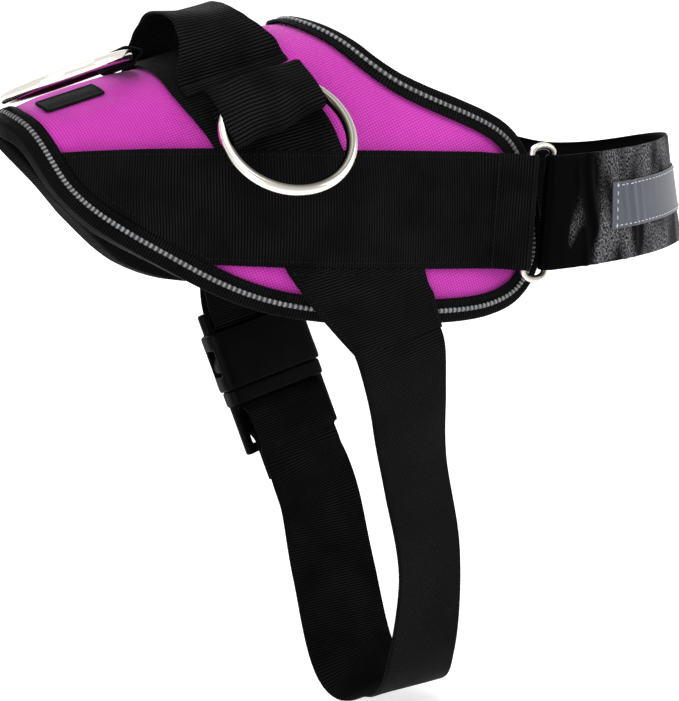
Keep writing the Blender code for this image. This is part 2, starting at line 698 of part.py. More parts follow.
def make_sleeve(name, hinge, out, axis, width):
    """A folded webbing sleeve round an O-ring: a flattened loop, with its sewn end on the hinge line."""
    normal = np.cross(axis, out)
    normal /= np.linalg.norm(normal)
    inside = RING_WIRE / 2 + SEAT_GAP
    middle = inside + WEBBING_THICK / 2
    length = sleeve_length(width)
    corner = 0.8 * inside
    near = SEAT_GAP + WEBBING_THICK / 2
    far = near + length + WEBBING_THICK
    loop = []
    for place, height, quarter in (
        (far - middle, 0, -1), (far - middle, 0, 0),
        (near + corner, middle - corner, 1), (near + corner, -middle + corner, 2),
    ):
        radius = middle if quarter < 1 else corner
        for angle in np.linspace(quarter, quarter + 1, 5) * pi / 2:
            point = (place + radius * cos(angle), height + radius * sin(angle))
            loop.append((point, (cos(angle), sin(angle))))
    sections = []
    for (place, height), (along_out, along_normal) in loop:
        way = along_out * out + along_normal * normal
        centre = hinge + place * out + height * normal
        half = axis * width / 2
        wall = way * WEBBING_THICK / 2
        sections.append([
            centre - half - wall, centre + half - wall, centre + half + wall, centre - half + wall,
        ])
    add_object(name, swept(sections, closed=True), "black_webbing", hinge)


def make_o_ring(name, hinge, out, axis):
    """A welded O-ring whose near arc lies in the sleeve that starts at the hinge."""
    normal = np.cross(axis, out)
    normal /= np.linalg.norm(normal)
    middle = (RING_OUTSIDE - RING_WIRE) / 2
    angles = np.linspace(0, 2 * pi, RING_STEPS, endpoint=False)
    ways = np.outer(np.cos(angles), out) + np.outer(np.sin(angles), axis)
    centre = hinge + ring_centre_reach() * out
    shape = wire_loop(centre + middle * ways, ways, normal, RING_WIRE / 2)
    add_object(name, shape, "nickel_steel", hinge)


def ring_hinge(side):
    """The line that a handle ring's sleeve is sewn along, and the way that it hangs."""
    height = RIDGE_GAP + 2 * WEBBING_THICK + RING_WIRE / 2 + 6 * SEAT_GAP
    hinge = skin(RING_X, side * (HANDLE_FOOT + 3 * MM), height)
    out = np.array([0, side * cos(RING_SLOPE), -sin(RING_SLOPE)])
    return hinge, out


def leash_hinge():
    """The line that the leash ring's keeper is sewn along, behind the handle."""
    hinge = np.array([LEASH_HINGE_X, 0, SANDWICH + LEASH_LIFT])
    axis = np.array([0, cos(LEASH_ROLL), -sin(LEASH_ROLL)])
    return hinge, np.array([-1.0, 0, 0]), axis


def make_rings():
    """The two handle rings and the leash ring, each in its folded webbing sleeve."""
    across = np.array([1.0, 0, 0])
    for suffix, side in (("right", RIGHT), ("left", LEFT)):
        hinge, out = ring_hinge(side)
        make_sleeve(f"ring_loop_{suffix}", hinge, out, across, RING_LOOP_WIDTH)
        make_o_ring(f"o_ring_{suffix}", hinge, out, across)
    hinge, out, axis = leash_hinge()
    make_sleeve("leash_keeper", hinge, out, axis, KEEPER_WIDTH)
    make_o_ring("leash_ring", hinge, out, axis)


def make_label():
    """The bare rubber tab sewn beside the ridge under the leash ring."""
    x = np.linspace(LABEL_X - LABEL_LENGTH / 2, LABEL_X + LABEL_LENGTH / 2, 6)
    d = np.linspace(-LABEL_DROP - LABEL_WIDTH / 2, -LABEL_DROP + LABEL_WIDTH / 2, 4)
    d, x = np.meshgrid(d, x)
    add_object("label_tab", pattern_slab(x, d, RIDGE_GAP, RIDGE_GAP + LABEL_THICK), "black_rubber")


def make_girth_anchor(name, side, end):
    """The trapezoid of webbing sewn to a flap below the side band, narrowing to the girth strap."""
    share = np.linspace(0, 1, 9)[:, None]
    across = np.linspace(-0.5, 0.5, 6)[None]
    top_x = ANCHOR_TOP_X + across * ANCHOR_TOP
    half = WEBBING_WIDTH / 2
    start = BAND_DROP + top_x * np.tan(BAND_SLOPE) + (half + 2 * SEAT_GAP) / cos(BAND_SLOPE)
    narrow = smooth_step((start + share * (ANCHOR_END - start) - start) / (ANCHOR_END - start))
    reach = (end - BAND_DROP) / (ANCHOR_END - BAND_DROP)
    x = top_x + (GIRTH_X + across * GIRTH_WIDTH - top_x) * narrow * reach
    drop = start + share * (end - start)
    clear = 1 - smooth_step((edge_distance(x, drop) - BINDING_OUTSIDE - 2 * MM) / (6 * MM))
    low = FLAP_GAP + (OVER_EDGE - FLAP_GAP) * clear
    add_object(name, pattern_slab(x, side * drop, low, low + WEBBING_THICK), "black_webbing")


def buckle_frame():
    """The buckle's mouth on its middle line, and its ways across, inward and up."""
    mouth = np.array(BUCKLE_MOUTH) * MM + (0, 0, SANDWICH)
    up = np.array([0, sin(BUCKLE_TILT), cos(BUCKLE_TILT)])
    across = np.array([1.0, 0, 0])
    return mouth, across, np.cross(up, across) * -1, up


def in_buckle(points):
    """World points from buckle places (across, inward, up)."""
    mouth, across, inward, up = buckle_frame()
    points = np.asarray(points, float)
    return mouth + points[..., :1] * across + points[..., 1:2] * inward + points[..., 2:3] * up


def block(width, thick, low, high, middle=0.0, corner=0.0):
    """A bmesh of a straight block along the buckle, with its long corners rounded by a radius."""
    outline = []
    for quarter, (a, b) in enumerate(((1, 1), (-1, 1), (-1, -1), (1, -1))):
        angles = np.linspace(quarter, quarter + 1, 4) * pi / 2 if corner else [0.0]
        for angle in angles:
            turned = corner * cos(angle) if corner else 0
            place = middle + a * (width / 2 - corner) + turned
            outline.append((place, b * (thick / 2 - corner) + corner * sin(angle)))
    rows = [[(place, height, level) for place, height in outline] for level in (low, high)]
    return swept(in_buckle(np.array(rows)))


def combine(base, pieces, operation, name):
    """Joins or cuts blocks with exact Booleans, and returns the base object."""
    for k, piece in enumerate(pieces):
        tool = add_object(f"{name}_tool_{k}", piece, "black_acetal", base.location)
        tool.hide_render = True
        tool.display_type = "WIRE"
        modifier = base.modifiers.new(f"{operation.lower()}_{k}", "BOOLEAN")
        modifier.operation = operation
        modifier.object = tool
    return base


def make_buckle_female():
    """The buckle's socket: a hollow body with two side windows and a strap bar."""
    mouth = buckle_frame()[0]
    overlap = 0.5 * MM
    body = block(FEMALE_WIDTH, FEMALE_THICK, 0, FEMALE_BODY, corner=4 * MM)
    female = add_object("buckle_female", body, "black_acetal", mouth)
    frame = block(FEMALE_WIDTH - 2 * MM, BAR_THICK, FEMALE_BODY - 3 * MM, FEMALE_LENGTH, corner=2 * MM)
    combine(female, [frame], "UNION", "female_frame")
    strap_slot = GIRTH_WIDTH + 2 * SLOT_PLAY
    cuts = [
        block(CAVITY_WIDTH, CAVITY_THICK, -overlap, CAVITY_DEPTH, corner=1.5 * MM),
        block(FEMALE_WIDTH + 4 * MM, CAVITY_THICK, WINDOW_START, WINDOW_START + WINDOW_LENGTH),
        block(strap_slot, 2 * FEMALE_THICK, FEMALE_BODY + FEMALE_SHOULDER, FEMALE_LENGTH - BAR_LENGTH),
    ]
    combine(female, cuts, "DIFFERENCE", "female_cut")


def make_buckle_male():
    """The buckle's plug: a base with a middle tongue, and a two-bar ladder lock for the girth strap."""
    mouth = buckle_frame()[0]
    inner = GIRTH_WIDTH + 2 * SLOT_PLAY
    width = inner + 2 * RAIL_WIDTH
    top = -2 * SEAT_GAP
    body = block(width, FEMALE_THICK - 2 * MM, -MALE_BASE, top, corner=3 * MM)
    male = add_object("buckle_male", body, "black_acetal", mouth)
    overlap = 1 * MM
    across = inner + 2 * overlap
    rail = (inner + RAIL_WIDTH) / 2
    joins = [
        block(RAIL_WIDTH, LADDER_THICK, -MALE_LENGTH, overlap - MALE_BASE, middle=-rail, corner=1 * MM),
        block(RAIL_WIDTH, LADDER_THICK, -MALE_LENGTH, overlap - MALE_BASE, middle=rail, corner=1 * MM),
        block(across, LADDER_THICK, MIDDLE_BAR - LADDER_BAR / 2, MIDDLE_BAR + LADDER_BAR / 2),
        block(across, LADDER_THICK, -MALE_LENGTH + 0.2 * MM, -MALE_LENGTH + LADDER_BAR),
        block(TONGUE_WIDTH, CAVITY_THICK - 2 * MM, top - overlap, TONGUE_LENGTH, corner=1 * MM),
    ]
    combine(male, joins, "UNION", "male_join")


def prong_pivot(side):
    """The root of a prong, where its arm bends."""
    return in_buckle((side * PRONG_ROOT, 0, 0.5 * MM))


def make_prong(name, side):
    """A sprung prong of the plug: a slim arm and a head that catches in the socket's window."""
    low = WINDOW_START + PRONG_PLAY
    high = WINDOW_START + WINDOW_LENGTH - PRONG_PLAY
    root = PRONG_ROOT - PRONG_ARM / 2
    outline = [
        (root, -SEAT_GAP), (root + PRONG_ARM, -SEAT_GAP), (root + PRONG_ARM + 2 * MM, low),
        (PRONG_REACH - 2.5 * MM, low), (PRONG_REACH, low + 2 * MM), (PRONG_REACH, low + 5 * MM),
        (PRONG_REACH - 2 * MM, high - 2.5 * MM), (CAVITY_WIDTH / 2 - 3.5 * MM, high),
        (root + PRONG_ARM, high), (root + 1 * MM, high - 3 * MM),
    ]
    half = CAVITY_THICK / 2 - 2 * SEAT_GAP
    rows = [[(side * place, height, level) for place, level in outline] for height in (-half, half)]
    add_object(name, swept(in_buckle(np.array(rows))), "black_acetal", prong_pivot(side))


def ladder_route():
    """The girth strap's way through the ladder lock as (inward, up): up inside, round the bar, out."""
    bar_top = MIDDLE_BAR + LADDER_BAR / 2
    bar_low = MIDDLE_BAR - LADDER_BAR / 2
    near = LADDER_THICK / 2 + WEBBING_THICK / 2 + 2 * SEAT_GAP
    far = near + WEBBING_THICK + 2 * SEAT_GAP
    slot = (bar_top - MALE_BASE) / 2
    end_top = -MALE_LENGTH + LADDER_BAR
    return [
        (far, -MALE_LENGTH), (far, bar_low), (far - 0.6 * MM, bar_top + 1.5 * MM),
        (near - 1.2 * MM, slot + 0.4 * MM), (0, slot + 1.2 * MM), (-near + 0.6 * MM, slot),
        (-near - 0.4 * MM, bar_top), (-near, bar_low + 0.5 * MM), (-near + 2.3 * MM, bar_low - 2.5 * MM),
        (near - 1.8 * MM, (bar_low + end_top) / 2 - 0.6 * MM), (near, end_top + 0.6 * MM),
        (near, -MALE_LENGTH), (near, -MALE_LENGTH - TAIL_LENGTH),
    ]


def make_girth_strap():
    """The girth strap: from the right anchor under the dog, up through the plug's ladder lock."""
    high = OVER_EDGE + WEBBING_THICK / 2
    start = skin(GIRTH_X, RIGHT * (ANCHOR_END + 4 * SEAT_GAP), high)
    route = np.array(GIRTH_ROUTE)
    free = route[:, :3] * MM + (0, 0, SANDWICH)
    lock = in_buckle(np.array([(0, inward, up) for inward, up in ladder_route()]))
    lower = lock[0] - 9 * MM * buckle_frame()[3]
    line = np.concatenate([[start], free, [lower], lock])
    twist = np.radians(np.r_[0, route[:, 3], np.zeros(len(lock) + 1)])
    line = through(np.column_stack([line, twist]), 3)
    path, twist = line[:, :3], line[:, 3:]
    side, normal = strap_ways(path, np.tile([1.0, 0, 0], (len(path), 1)))
    ways = np.cos(twist) * side + np.sin(twist) * normal
    add_object("girth_strap", ribbon(path, ways, GIRTH_WIDTH, WEBBING_THICK), "black_webbing")


def make_short_strap():
    """The left flap's short strap: a doubled loop from the anchor round the socket's strap bar."""
    mouth, _, inward, up = buckle_frame()
    bar_middle = FEMALE_LENGTH - BAR_LENGTH / 2
    reach = BAR_THICK / 2 + SEAT_GAP + WEBBING_THICK / 2
    lowest = FEMALE_LENGTH - BAR_LENGTH - SEAT_GAP - WEBBING_THICK / 2
    high = OVER_EDGE + WEBBING_THICK
    top = skin(GIRTH_X, LEFT * (FAR_ANCHOR_END + 3 * SEAT_GAP), high + SEAT_GAP / 2)
    top_place = top - mouth
    top_in, top_up = top_place @ inward, top_place @ up
    layer = (WEBBING_THICK + SEAT_GAP) / 2
    bar_low = FEMALE_LENGTH - BAR_LENGTH
    corner = (SEAT_GAP + WEBBING_THICK / 2) * cos(pi / 4)
    under = [(reach, bar_low), (BAR_THICK / 2 + corner, bar_low - corner), (BAR_THICK / 2, lowest)]
    middle_up = 0.4 * bar_middle + 0.6 * top_up
    loop = [(-place, level) for place, level in under] + [(0, lowest)] + under[::-1]
    loop += [(reach, FEMALE_LENGTH), (0.5 * (reach + top_in + layer), middle_up)]
    loop += [(top_in + layer, top_up - 1.5 * MM), (top_in, top_up), (top_in - layer, top_up - 1.5 * MM)]
    loop += [(0.5 * (top_in - layer - reach), middle_up), (-reach, FEMALE_LENGTH)]
    curve = through(np.array(loop), 3, closed=True)
    outer, inner = closed_walls(curve, WEBBING_THICK)
    half = GIRTH_WIDTH / 2
    sections = []
    for out_point, in_point in zip(outer, inner):
        corners = [(-half, *in_point), (half, *in_point), (half, *out_point), (-half, *out_point)]
        sections.append(in_buckle(np.array(corners)))
    add_object("girth_short_strap", swept(sections, closed=True), "black_webbing")


def closed_walls(curve, thick):
    """Two closed curves half a thickness either side of a closed one."""
    tangent = np.roll(curve, -1, axis=0) - np.roll(curve, 1, axis=0)
    tangent /= np.linalg.norm(tangent, axis=1)[:, None]
    normal = np.stack([-tangent[:, 1], tangent[:, 0]], -1)
    return curve + normal * thick / 2, curve - normal * thick / 2


def main():
    """Clears the scene and builds every piece of the harness."""
    for obj in list(bpy.data.objects):
        bpy.data.objects.remove(obj)
    make_saddle()
    make_base_strap()
    make_handle()
    make_rings()
    make_label()
    for suffix, side, end in (("right", RIGHT, ANCHOR_END), ("left", LEFT, FAR_ANCHOR_END)):
        make_side_band(f"side_band_{suffix}", side)
        make_bartack(f"band_bartack_{suffix}", side)
        make_link_ring(f"link_ring_{suffix}", side)
        make_chest_tab(f"chest_tab_{suffix}", side)
        make_girth_anchor(f"girth_anchor_{suffix}", side, end)
    make_chest_strap()
    make_buckle_female()
    make_buckle_male()
    for name, side in (("prong_rear", -1), ("prong_front", 1)):
        make_prong(name, side)
    make_girth_strap()
    make_short_strap()


main()
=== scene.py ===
"""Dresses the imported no-pull dog harness: woven, sewn and moulded surfaces over the CAD frame.

The frame is the part's own: +X forward along the dog's spine, +Y to the dog's left, +Z up, in
metres. Pieces that lie on the saddle are drawn in its flat pattern: x along the ridge, d down a
flap from the ridge (negative on the dog's right) and h above the saddle's outer face.
"""

import logging
from collections.abc import Callable
from dataclasses import dataclass, field
from enum import Enum
from functools import cached_property, partial
from math import cos, pi, radians, sin

import bmesh
import bpy
import numpy as np
from mathutils import Matrix, Vector

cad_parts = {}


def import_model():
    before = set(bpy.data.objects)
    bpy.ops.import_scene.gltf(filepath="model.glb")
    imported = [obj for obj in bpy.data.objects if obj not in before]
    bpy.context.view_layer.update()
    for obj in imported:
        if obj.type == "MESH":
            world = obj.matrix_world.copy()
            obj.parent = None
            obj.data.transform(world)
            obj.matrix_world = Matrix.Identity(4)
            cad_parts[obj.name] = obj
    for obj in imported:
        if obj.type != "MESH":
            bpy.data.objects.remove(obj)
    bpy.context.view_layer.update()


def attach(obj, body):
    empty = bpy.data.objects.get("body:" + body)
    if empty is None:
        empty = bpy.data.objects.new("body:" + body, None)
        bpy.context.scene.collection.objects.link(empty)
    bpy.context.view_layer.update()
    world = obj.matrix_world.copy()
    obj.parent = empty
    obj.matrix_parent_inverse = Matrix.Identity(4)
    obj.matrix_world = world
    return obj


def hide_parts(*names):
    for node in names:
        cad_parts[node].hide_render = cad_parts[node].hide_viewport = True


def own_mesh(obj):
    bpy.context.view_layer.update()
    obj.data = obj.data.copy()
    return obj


MM = 0.001
Array = np.ndarray
Piece = bpy.types.Object
Adder = Callable[..., bpy.types.Node]
log = logging.getLogger("harness")


class Side(Enum):
    """The dog's right flap, which the photograph shows in front, and its left one."""

    RIGHT = -1
    LEFT = 1

    @property
    def suffix(self) -> str:
        """The word that ends this side's node and body names."""
        return self.name.lower()


# Shapes


def smooth_step(value: Array | float) -> Array:
    """0 below 0, 1 above 1, and the cubic 3v2 - 2v3 between them."""
    value = np.clip(value, 0, 1)
    return value * value * (3 - 2 * value)


def bump(distance: Array | float, width: float) -> Array:
    """A bell, exp(-(distance / width)2): 1 on a seam and 0 a few widths away from it."""
    return np.exp(-((np.asarray(distance) / width) ** 2))


def through(points: Array | list, steps: int, closed: bool = False) -> Array:
    """A Catmull-Rom curve through points.

    Args:
        points: the points, one row each.
        steps: how many steps each span between two points gets.
        closed: whether the curve runs from the last point back to the first.

    Returns:
        The curve's points, one row each; an open curve also has its last point.
    """
    points = np.asarray(points, float)
    if closed:
        a, b = np.roll(points, 1, 0), points
        c, d = np.roll(points, -1, 0), np.roll(points, -2, 0)
    else:
        ends = np.concatenate([[2 * points[0] - points[1]], points, [2 * points[-1] - points[-2]]])
        a, b, c, d = ends[:-3], ends[1:-2], ends[2:-1], ends[3:]
    a, b, c, d = (row[:, None] for row in (a, b, c, d))
    t = (np.arange(steps) / steps)[None, :, None]
    square = (2 * a - 5 * b + 4 * c - d) * t**2
    cube = (3 * b - a - 3 * c + d) * t**3
    curve = (0.5 * (2 * b + (c - a) * t + square + cube)).reshape(-1, points.shape[1])
    return curve if closed else np.concatenate([curve, points[-1:]])


def lengths_along(path: Array) -> Array:
    """The arc length from a path's first point to each of its points."""
    return np.r_[0, np.cumsum(np.linalg.norm(np.diff(path, axis=0), axis=1))]


def evenly(path: Array, count: int, size: int) -> Array:
    """Rows at evenly spaced arc lengths of a path.

    Args:
        path: rows whose first columns are places.
        count: how many rows there will be.
        size: how many columns are places.

    Returns:
        The rows, with each column interpolated.
    """
    length = lengths_along(path[:, :size])
    places = np.linspace(0, length[-1], count)
    return np.stack([np.interp(places, length, column) for column in path.T], -1)


def unit(vectors: Array) -> Array:
    """Vectors divided by their lengths."""
    return vectors / np.linalg.norm(vectors, axis=-1, keepdims=True)


def strap_ways(path: Array, width_ways: Array) -> tuple[Array, Array]:
    """The ways across a strap and square to its face.

    Args:
        path: the strap's middle line.
        width_ways: roughly the way across it at each point.

    Returns:
        Unit vectors across the strap, square to the line, and unit vectors out of its face.
    """
    tangent = unit(np.gradient(path, axis=0))
    side = unit(width_ways - (width_ways * tangent).sum(1)[:, None] * tangent)
    return side, np.cross(tangent, side)


def strand_places(width: float, count: int) -> Array:
    """Places across a strap from edge to edge, closer together at its two edges (a cosine's)."""
    even = np.linspace(-1, 1, count)
    return (0.82 * even + 0.18 * np.sin(even * pi / 2)) * width / 2


def edge_thickness(places: Array, thick: float) -> Array:
    """Half of a strap's thickness at each place across it, rounded off at its edges.

    Args:
        places: places across the strap.
        thick: its thickness.

    Returns:
        Half thicknesses: 0.3 of the full one at an edge, rising from there as a quarter circle.
    """
    half = np.abs(places).max()
    inside = np.clip((half - np.abs(places)) / (0.9 * thick), 0, 1)
    return thick / 2 * (0.3 + 0.7 * np.sqrt(1 - (1 - inside) ** 2))


def finish_object(name: str, mesh: bpy.types.Mesh, smooth: float = 50) -> Piece:
    """Links a mesh as an object at the origin.

    Args:
        name: the object's name.
        mesh: its mesh.
        smooth: the angle in degrees below which its edges are shaded smooth.

    Returns:
        The object.
    """
    mesh.validate()
    mesh.shade_smooth()
    mesh.set_sharp_from_angle(angle=radians(smooth))
    obj = bpy.data.objects.new(name, mesh)
    bpy.context.scene.collection.objects.link(obj)
    return obj


def grid_faces(rows: int, columns: int, close_rows: bool, close_columns: bool) -> tuple[Array, Array]:
    """The quads of a grid.

    Args:
        rows: how many rows of points there are.
        columns: how many points a row has.
        close_rows: whether the last row joins the first.
        close_columns: whether a row's last point joins its first.

    Returns:
        Vertex numbers, and the same corners as (row, column) that don't wrap, for the UV map.
    """
    i, k = np.meshgrid(
        np.arange(rows if close_rows else rows - 1),
        np.arange(columns if close_columns else columns - 1),
        indexing="ij",
    )
    quad = np.array([(0, 0), (0, 1), (1, 1), (1, 0)])
    corners = np.stack([i.ravel(), k.ravel()], -1)[:, None] + quad
    faces = (corners[..., 0] % rows) * columns + corners[..., 1] % columns
    return faces, corners


def mesh_from(name: str, points: Array, faces: Array, uv: Array | None, weld: bool) -> Piece:
    """A closed mesh from points and quads, its faces turned outwards.

    Args:
        name: the object's name.
        points: vertex places, n x 3.
        faces: vertex numbers, m x 4.
        uv: pattern places in metres at each face corner, m x 4 x 2, or None.
        weld: whether points that coincide, as at a pole, are merged.

    Returns:
        The object.
    """
    a, b, c, d = (points[faces[:, k]] for k in range(4))
    volume = (a * np.cross(b, c)).sum() + (a * np.cross(c, d)).sum()
    if volume < 0:
        faces = faces[:, ::-1]
        uv = None if uv is None else uv[:, ::-1]
    mesh = bpy.data.meshes.new(name)
    mesh.from_pydata(points.tolist(), [], faces.tolist())
    if uv is not None:
        layer = mesh.uv_layers.new(name="weave")
        layer.data.foreach_set("uv", np.ascontiguousarray(uv, np.float32).ravel())
    if weld:
        work = bmesh.new()
        work.from_mesh(mesh)
        bmesh.ops.remove_doubles(work, verts=work.verts, dist=2e-6)
        bmesh.ops.dissolve_degenerate(work, edges=work.edges, dist=2e-6)
        work.to_mesh(mesh)
        work.free()
    return finish_object(name, mesh)


def cloth_slab(
    name: str, top: Array, bottom: Array, uv: Array, closed: bool = False, weld: bool = False
) -> Piece:
    """A closed body between two grids: the upper face, the lower face and the walls between.

    Args:
        name: the object's name.
        top: the upper face's points, rows along the cloth x columns across it x 3.
        bottom: the lower face's points, laid out in the same way.
        uv: pattern places in metres, rows x columns x 2; one row more where the grid is closed.
        closed: whether the last row joins the first, so that there are no end walls.
        weld: whether points that coincide are merged.

    Returns:
        The object.
    """
    rows, columns = top.shape[:2]
    sheet = np.concatenate([top, bottom[:, ::-1]], 1)
    pattern = np.concatenate([uv, uv[:, ::-1], uv[:, :1]], 1)
    faces, corners = grid_faces(rows, 2 * columns, closed, True)
    places = pattern[corners[..., 0], corners[..., 1]]
    if not closed:
        k = np.arange(columns - 1)
        wall = np.stack([k, k + 1, 2 * columns - 2 - k, 2 * columns - 1 - k], -1)
        last = (rows - 1) * 2 * columns
        faces = np.concatenate([faces, wall[:, ::-1], wall + last])
        places = np.concatenate([places, pattern[0][wall[:, ::-1]], pattern[-1][wall]])
    return mesh_from(name, sheet.reshape(-1, 3), faces, places, weld)


def strap_body(
    name: str, path: Array, width_ways: Array, places: Array, thick: float, relief: Array | float = 0.0
) -> Piece:
    """A strap along a path in space: path + place x across, plus or minus half its thickness.

    Args:
        name: the object's name.
        path: the strap's middle line, n x 3.
        width_ways: roughly the way across it at each point, n x 3.
        places: places across it, one for all rows or n rows of them.
        thick: its thickness.
        relief: how far its middle face stands off the line, n x columns.

    Returns:
        The object.
    """
    side, normal = strap_ways(path, width_ways)
    places = np.broadcast_to(places, (len(path), np.shape(places)[-1]))
    half = edge_thickness(places[0], thick)
    middle = path[:, None] + places[..., None] * side[:, None]
    lift = np.broadcast_to(relief, places.shape)
    top = middle + (lift + half)[..., None] * normal[:, None]
    bottom = middle + (lift - half)[..., None] * normal[:, None]
    uv = np.stack([lengths_along(path)[:, None] + 0 * places, places], -1)
    return cloth_slab(name, top, bottom, uv)


def wire_ring(name: str, centres: Array, ways: Array, axis: Array, radius: float) -> Piece:
    """Round wire bent to a closed line: centre + radius (cos a x way + sin a x axis).

    Args:
        name: the object's name.
        centres: the wire's middle line, n x 3.
        ways: unit vectors out of the loop at each point.
        axis: the unit vector square to the loop.
        radius: half of the wire's thickness.

    Returns:
        The object.
    """
    angle = np.linspace(0, 2 * pi, 28, endpoint=False)
    out = np.cos(angle)[None, :, None] * ways[:, None] + np.sin(angle)[None, :, None] * axis
    points = centres[:, None] + radius * out
    faces, corners = grid_faces(len(centres), len(angle), True, True)
    # the pattern holds the share of the way along the wire and round it, which the steel's
    # painted shade reads
    return mesh_from(name, points.reshape(-1, 3), faces, corners / (len(centres), len(angle)), False)


def stitches(
    name: str, places: Array, ways: Array, normals: Array, length: float, radius: float
) -> Piece:
    """Sewn stitches: each a spindle of five rings of six, half sunk into the cloth.

    A ring at share s along the stitch has radius x sqrt(1 - 0.9 s2), and the stitch's ends dip.

    Args:
        name: the object's name.
        places: each stitch's middle on the cloth, n x 3.
        ways: the way that each stitch runs, n x 3.
        normals: the way out of the cloth, n x 3.
        length: a stitch's length.
        radius: half of the thread's thickness.

    Returns:
        The object.
    """
    ways, normals = unit(ways), unit(normals)
    across = np.cross(ways, normals)
    rings, sides = 5, 6
    share = np.linspace(-1, 1, rings)
    angle = np.linspace(0, 2 * pi, sides, endpoint=False)
    size = radius * np.sqrt(1 - 0.9 * share**2)
    line = places[:, None] + (share * length / 2)[None, :, None] * ways[:, None]
    line = line + (radius * (0.5 - 0.9 * share**2))[None, :, None] * normals[:, None]
    turn = np.cos(angle)[None, :, None] * across[:, None] + np.sin(angle)[None, :, None] * normals[:, None]
    points = line[:, :, None] + size[None, :, None, None] * turn[:, None]
    faces, _ = grid_faces(rings, sides, False, True)
    ends = np.array([[0, 1, 2, 3], [0, 3, 4, 5]])
    faces = np.concatenate([faces, ends[:, ::-1], ends + (rings - 1) * sides])
    each = np.arange(len(places))[:, None, None] * rings * sides
    return mesh_from(name, points.reshape(-1, 3), (faces[None] + each).reshape(-1, 4), None, False)


@dataclass(frozen=True)
class Seam:
    """A seam's stitches: their spacing, their length and half of the thread's thickness."""

    pitch: float = 3.2 * MM
    length: float = 2.4 * MM
    radius: float = 0.26 * MM


def sew(name: str, lines: list[tuple[Array, Array]], seam: Seam) -> Piece:
    """Evenly spaced stitches along lines on the cloth.

    Args:
        name: the object's name.
        lines: each line's points, and the ways out of the cloth at them.
        seam: the stitches' sizes.

    Returns:
        The object.
    """
    parts = []
    for path, normals in lines:
        count = max(3, int(lengths_along(path)[-1] / seam.pitch) + 1)
        parts.append(evenly(np.concatenate([path, normals], 1), count, 3))
    ways = np.concatenate([np.gradient(rows[:, :3], axis=0) for rows in parts])
    rows = np.concatenate(parts)
    return stitches(name, rows[:, :3], ways, rows[:, 3:], seam.length, seam.radius)


# Finishes


def linear(hex_colour: str) -> tuple[float, float, float, float]:
    """The linear RGBA of an sRGB hex colour.

    Args:
        hex_colour: the colour, a hash sign and six digits.

    Returns:
        Red, green and blue by the sRGB curve, and 1 for alpha.
    """
    parts = np.array([int(hex_colour[k : k + 2], 16) for k in (1, 3, 5)]) / 255
    values = np.where(parts <= 0.04045, parts / 12.92, ((parts + 0.055) / 1.055) ** 2.4)
    return (*values.tolist(), 1.0)


def feed(tree: bpy.types.NodeTree, node: bpy.types.Node, inputs: dict) -> None:
    """Gives a node its inputs.

    Args:
        tree: the node's tree.
        node: the node.
        inputs: by name or number, a value, an output socket, or a node for its first live output.
    """
    for key, value in inputs.items():
        if isinstance(value, bpy.types.Node):
            value = next(socket for socket in value.outputs if socket.enabled)
        if isinstance(value, bpy.types.NodeSocket):
            tree.links.new(value, node.inputs[key])
        else:
            node.inputs[key].default_value = value


def add_node(tree: bpy.types.NodeTree, kind: str, inputs: dict | None = None, **settings) -> bpy.types.Node:
    """Adds a shader node.

    Args:
        tree: the tree that it goes into.
        kind: its type name, without the words that every shader node's starts with.
        inputs: what its inputs get, as in feed.
        settings: its other properties.

    Returns:
        The node.
    """
    node = tree.nodes.new(f"ShaderNode{kind}")
    for key, value in settings.items():
        setattr(node, key, value)
    feed(tree, node, inputs or {})
    return node


def shown_rays(add: Adder) -> bpy.types.Node:
    """Tells the rays that the eye sees from those that only light the object.

    Args:
        add: adds a node to the tree.

    Returns:
        A node that gives 1 for camera, mirror and glass rays, and 0 for the rest.
    """
    rays = add("LightPath").outputs
    seen = {0: rays["Is Camera Ray"], 1: rays["Is Glossy Ray"]}
    seen = add("Math", seen, operation="MAXIMUM")
    return add("Math", {0: seen, 1: rays["Is Transmission Ray"]}, operation="MAXIMUM")


@dataclass(frozen=True)
class Finish:
    """A finish: a dark and a light tone that a pattern mixes, its relief and the shader's values."""

    name: str
    dark: str
    light: str
    roughness: float = 0.5
    specular: float = 0.5
    sheen: float = 0.0
    metallic: float = 0.0
    depth: float = 0.0
    strength: float = 1.0

    def pattern(self, add: Adder) -> dict:
        """What sets this finish apart.

        Args:
            add: adds a node to the material's tree.

        Returns:
            The share of the light tone, and the relief's height and more inputs where it has them.
        """
        raise NotImplementedError

    def material(self) -> bpy.types.Material:
        """Makes the material.

        Returns:
            The tones mixed by the pattern's share, with its height as relief and its other inputs.
        """
        material = bpy.data.materials.new(self.name)
        material.use_nodes = True
        tree = material.node_tree
        add = partial(add_node, tree)
        inputs = {
            "Roughness": self.roughness, "Specular IOR Level": self.specular,
            "Sheen Weight": self.sheen, "Metallic": self.metallic, **self.pattern(add),
        }
        tones = {0: inputs.pop("share"), 6: linear(self.dark), 7: linear(self.light)}
        inputs["Base Color"] = add("Mix", tones, data_type="RGBA")
        if "height" in inputs:
            relief = {"Height": inputs.pop("height"), "Distance": self.depth, "Strength": self.strength}
            inputs["Normal"] = add("Bump", relief)
        feed(tree, tree.nodes["Principled BSDF"], inputs)
        return material


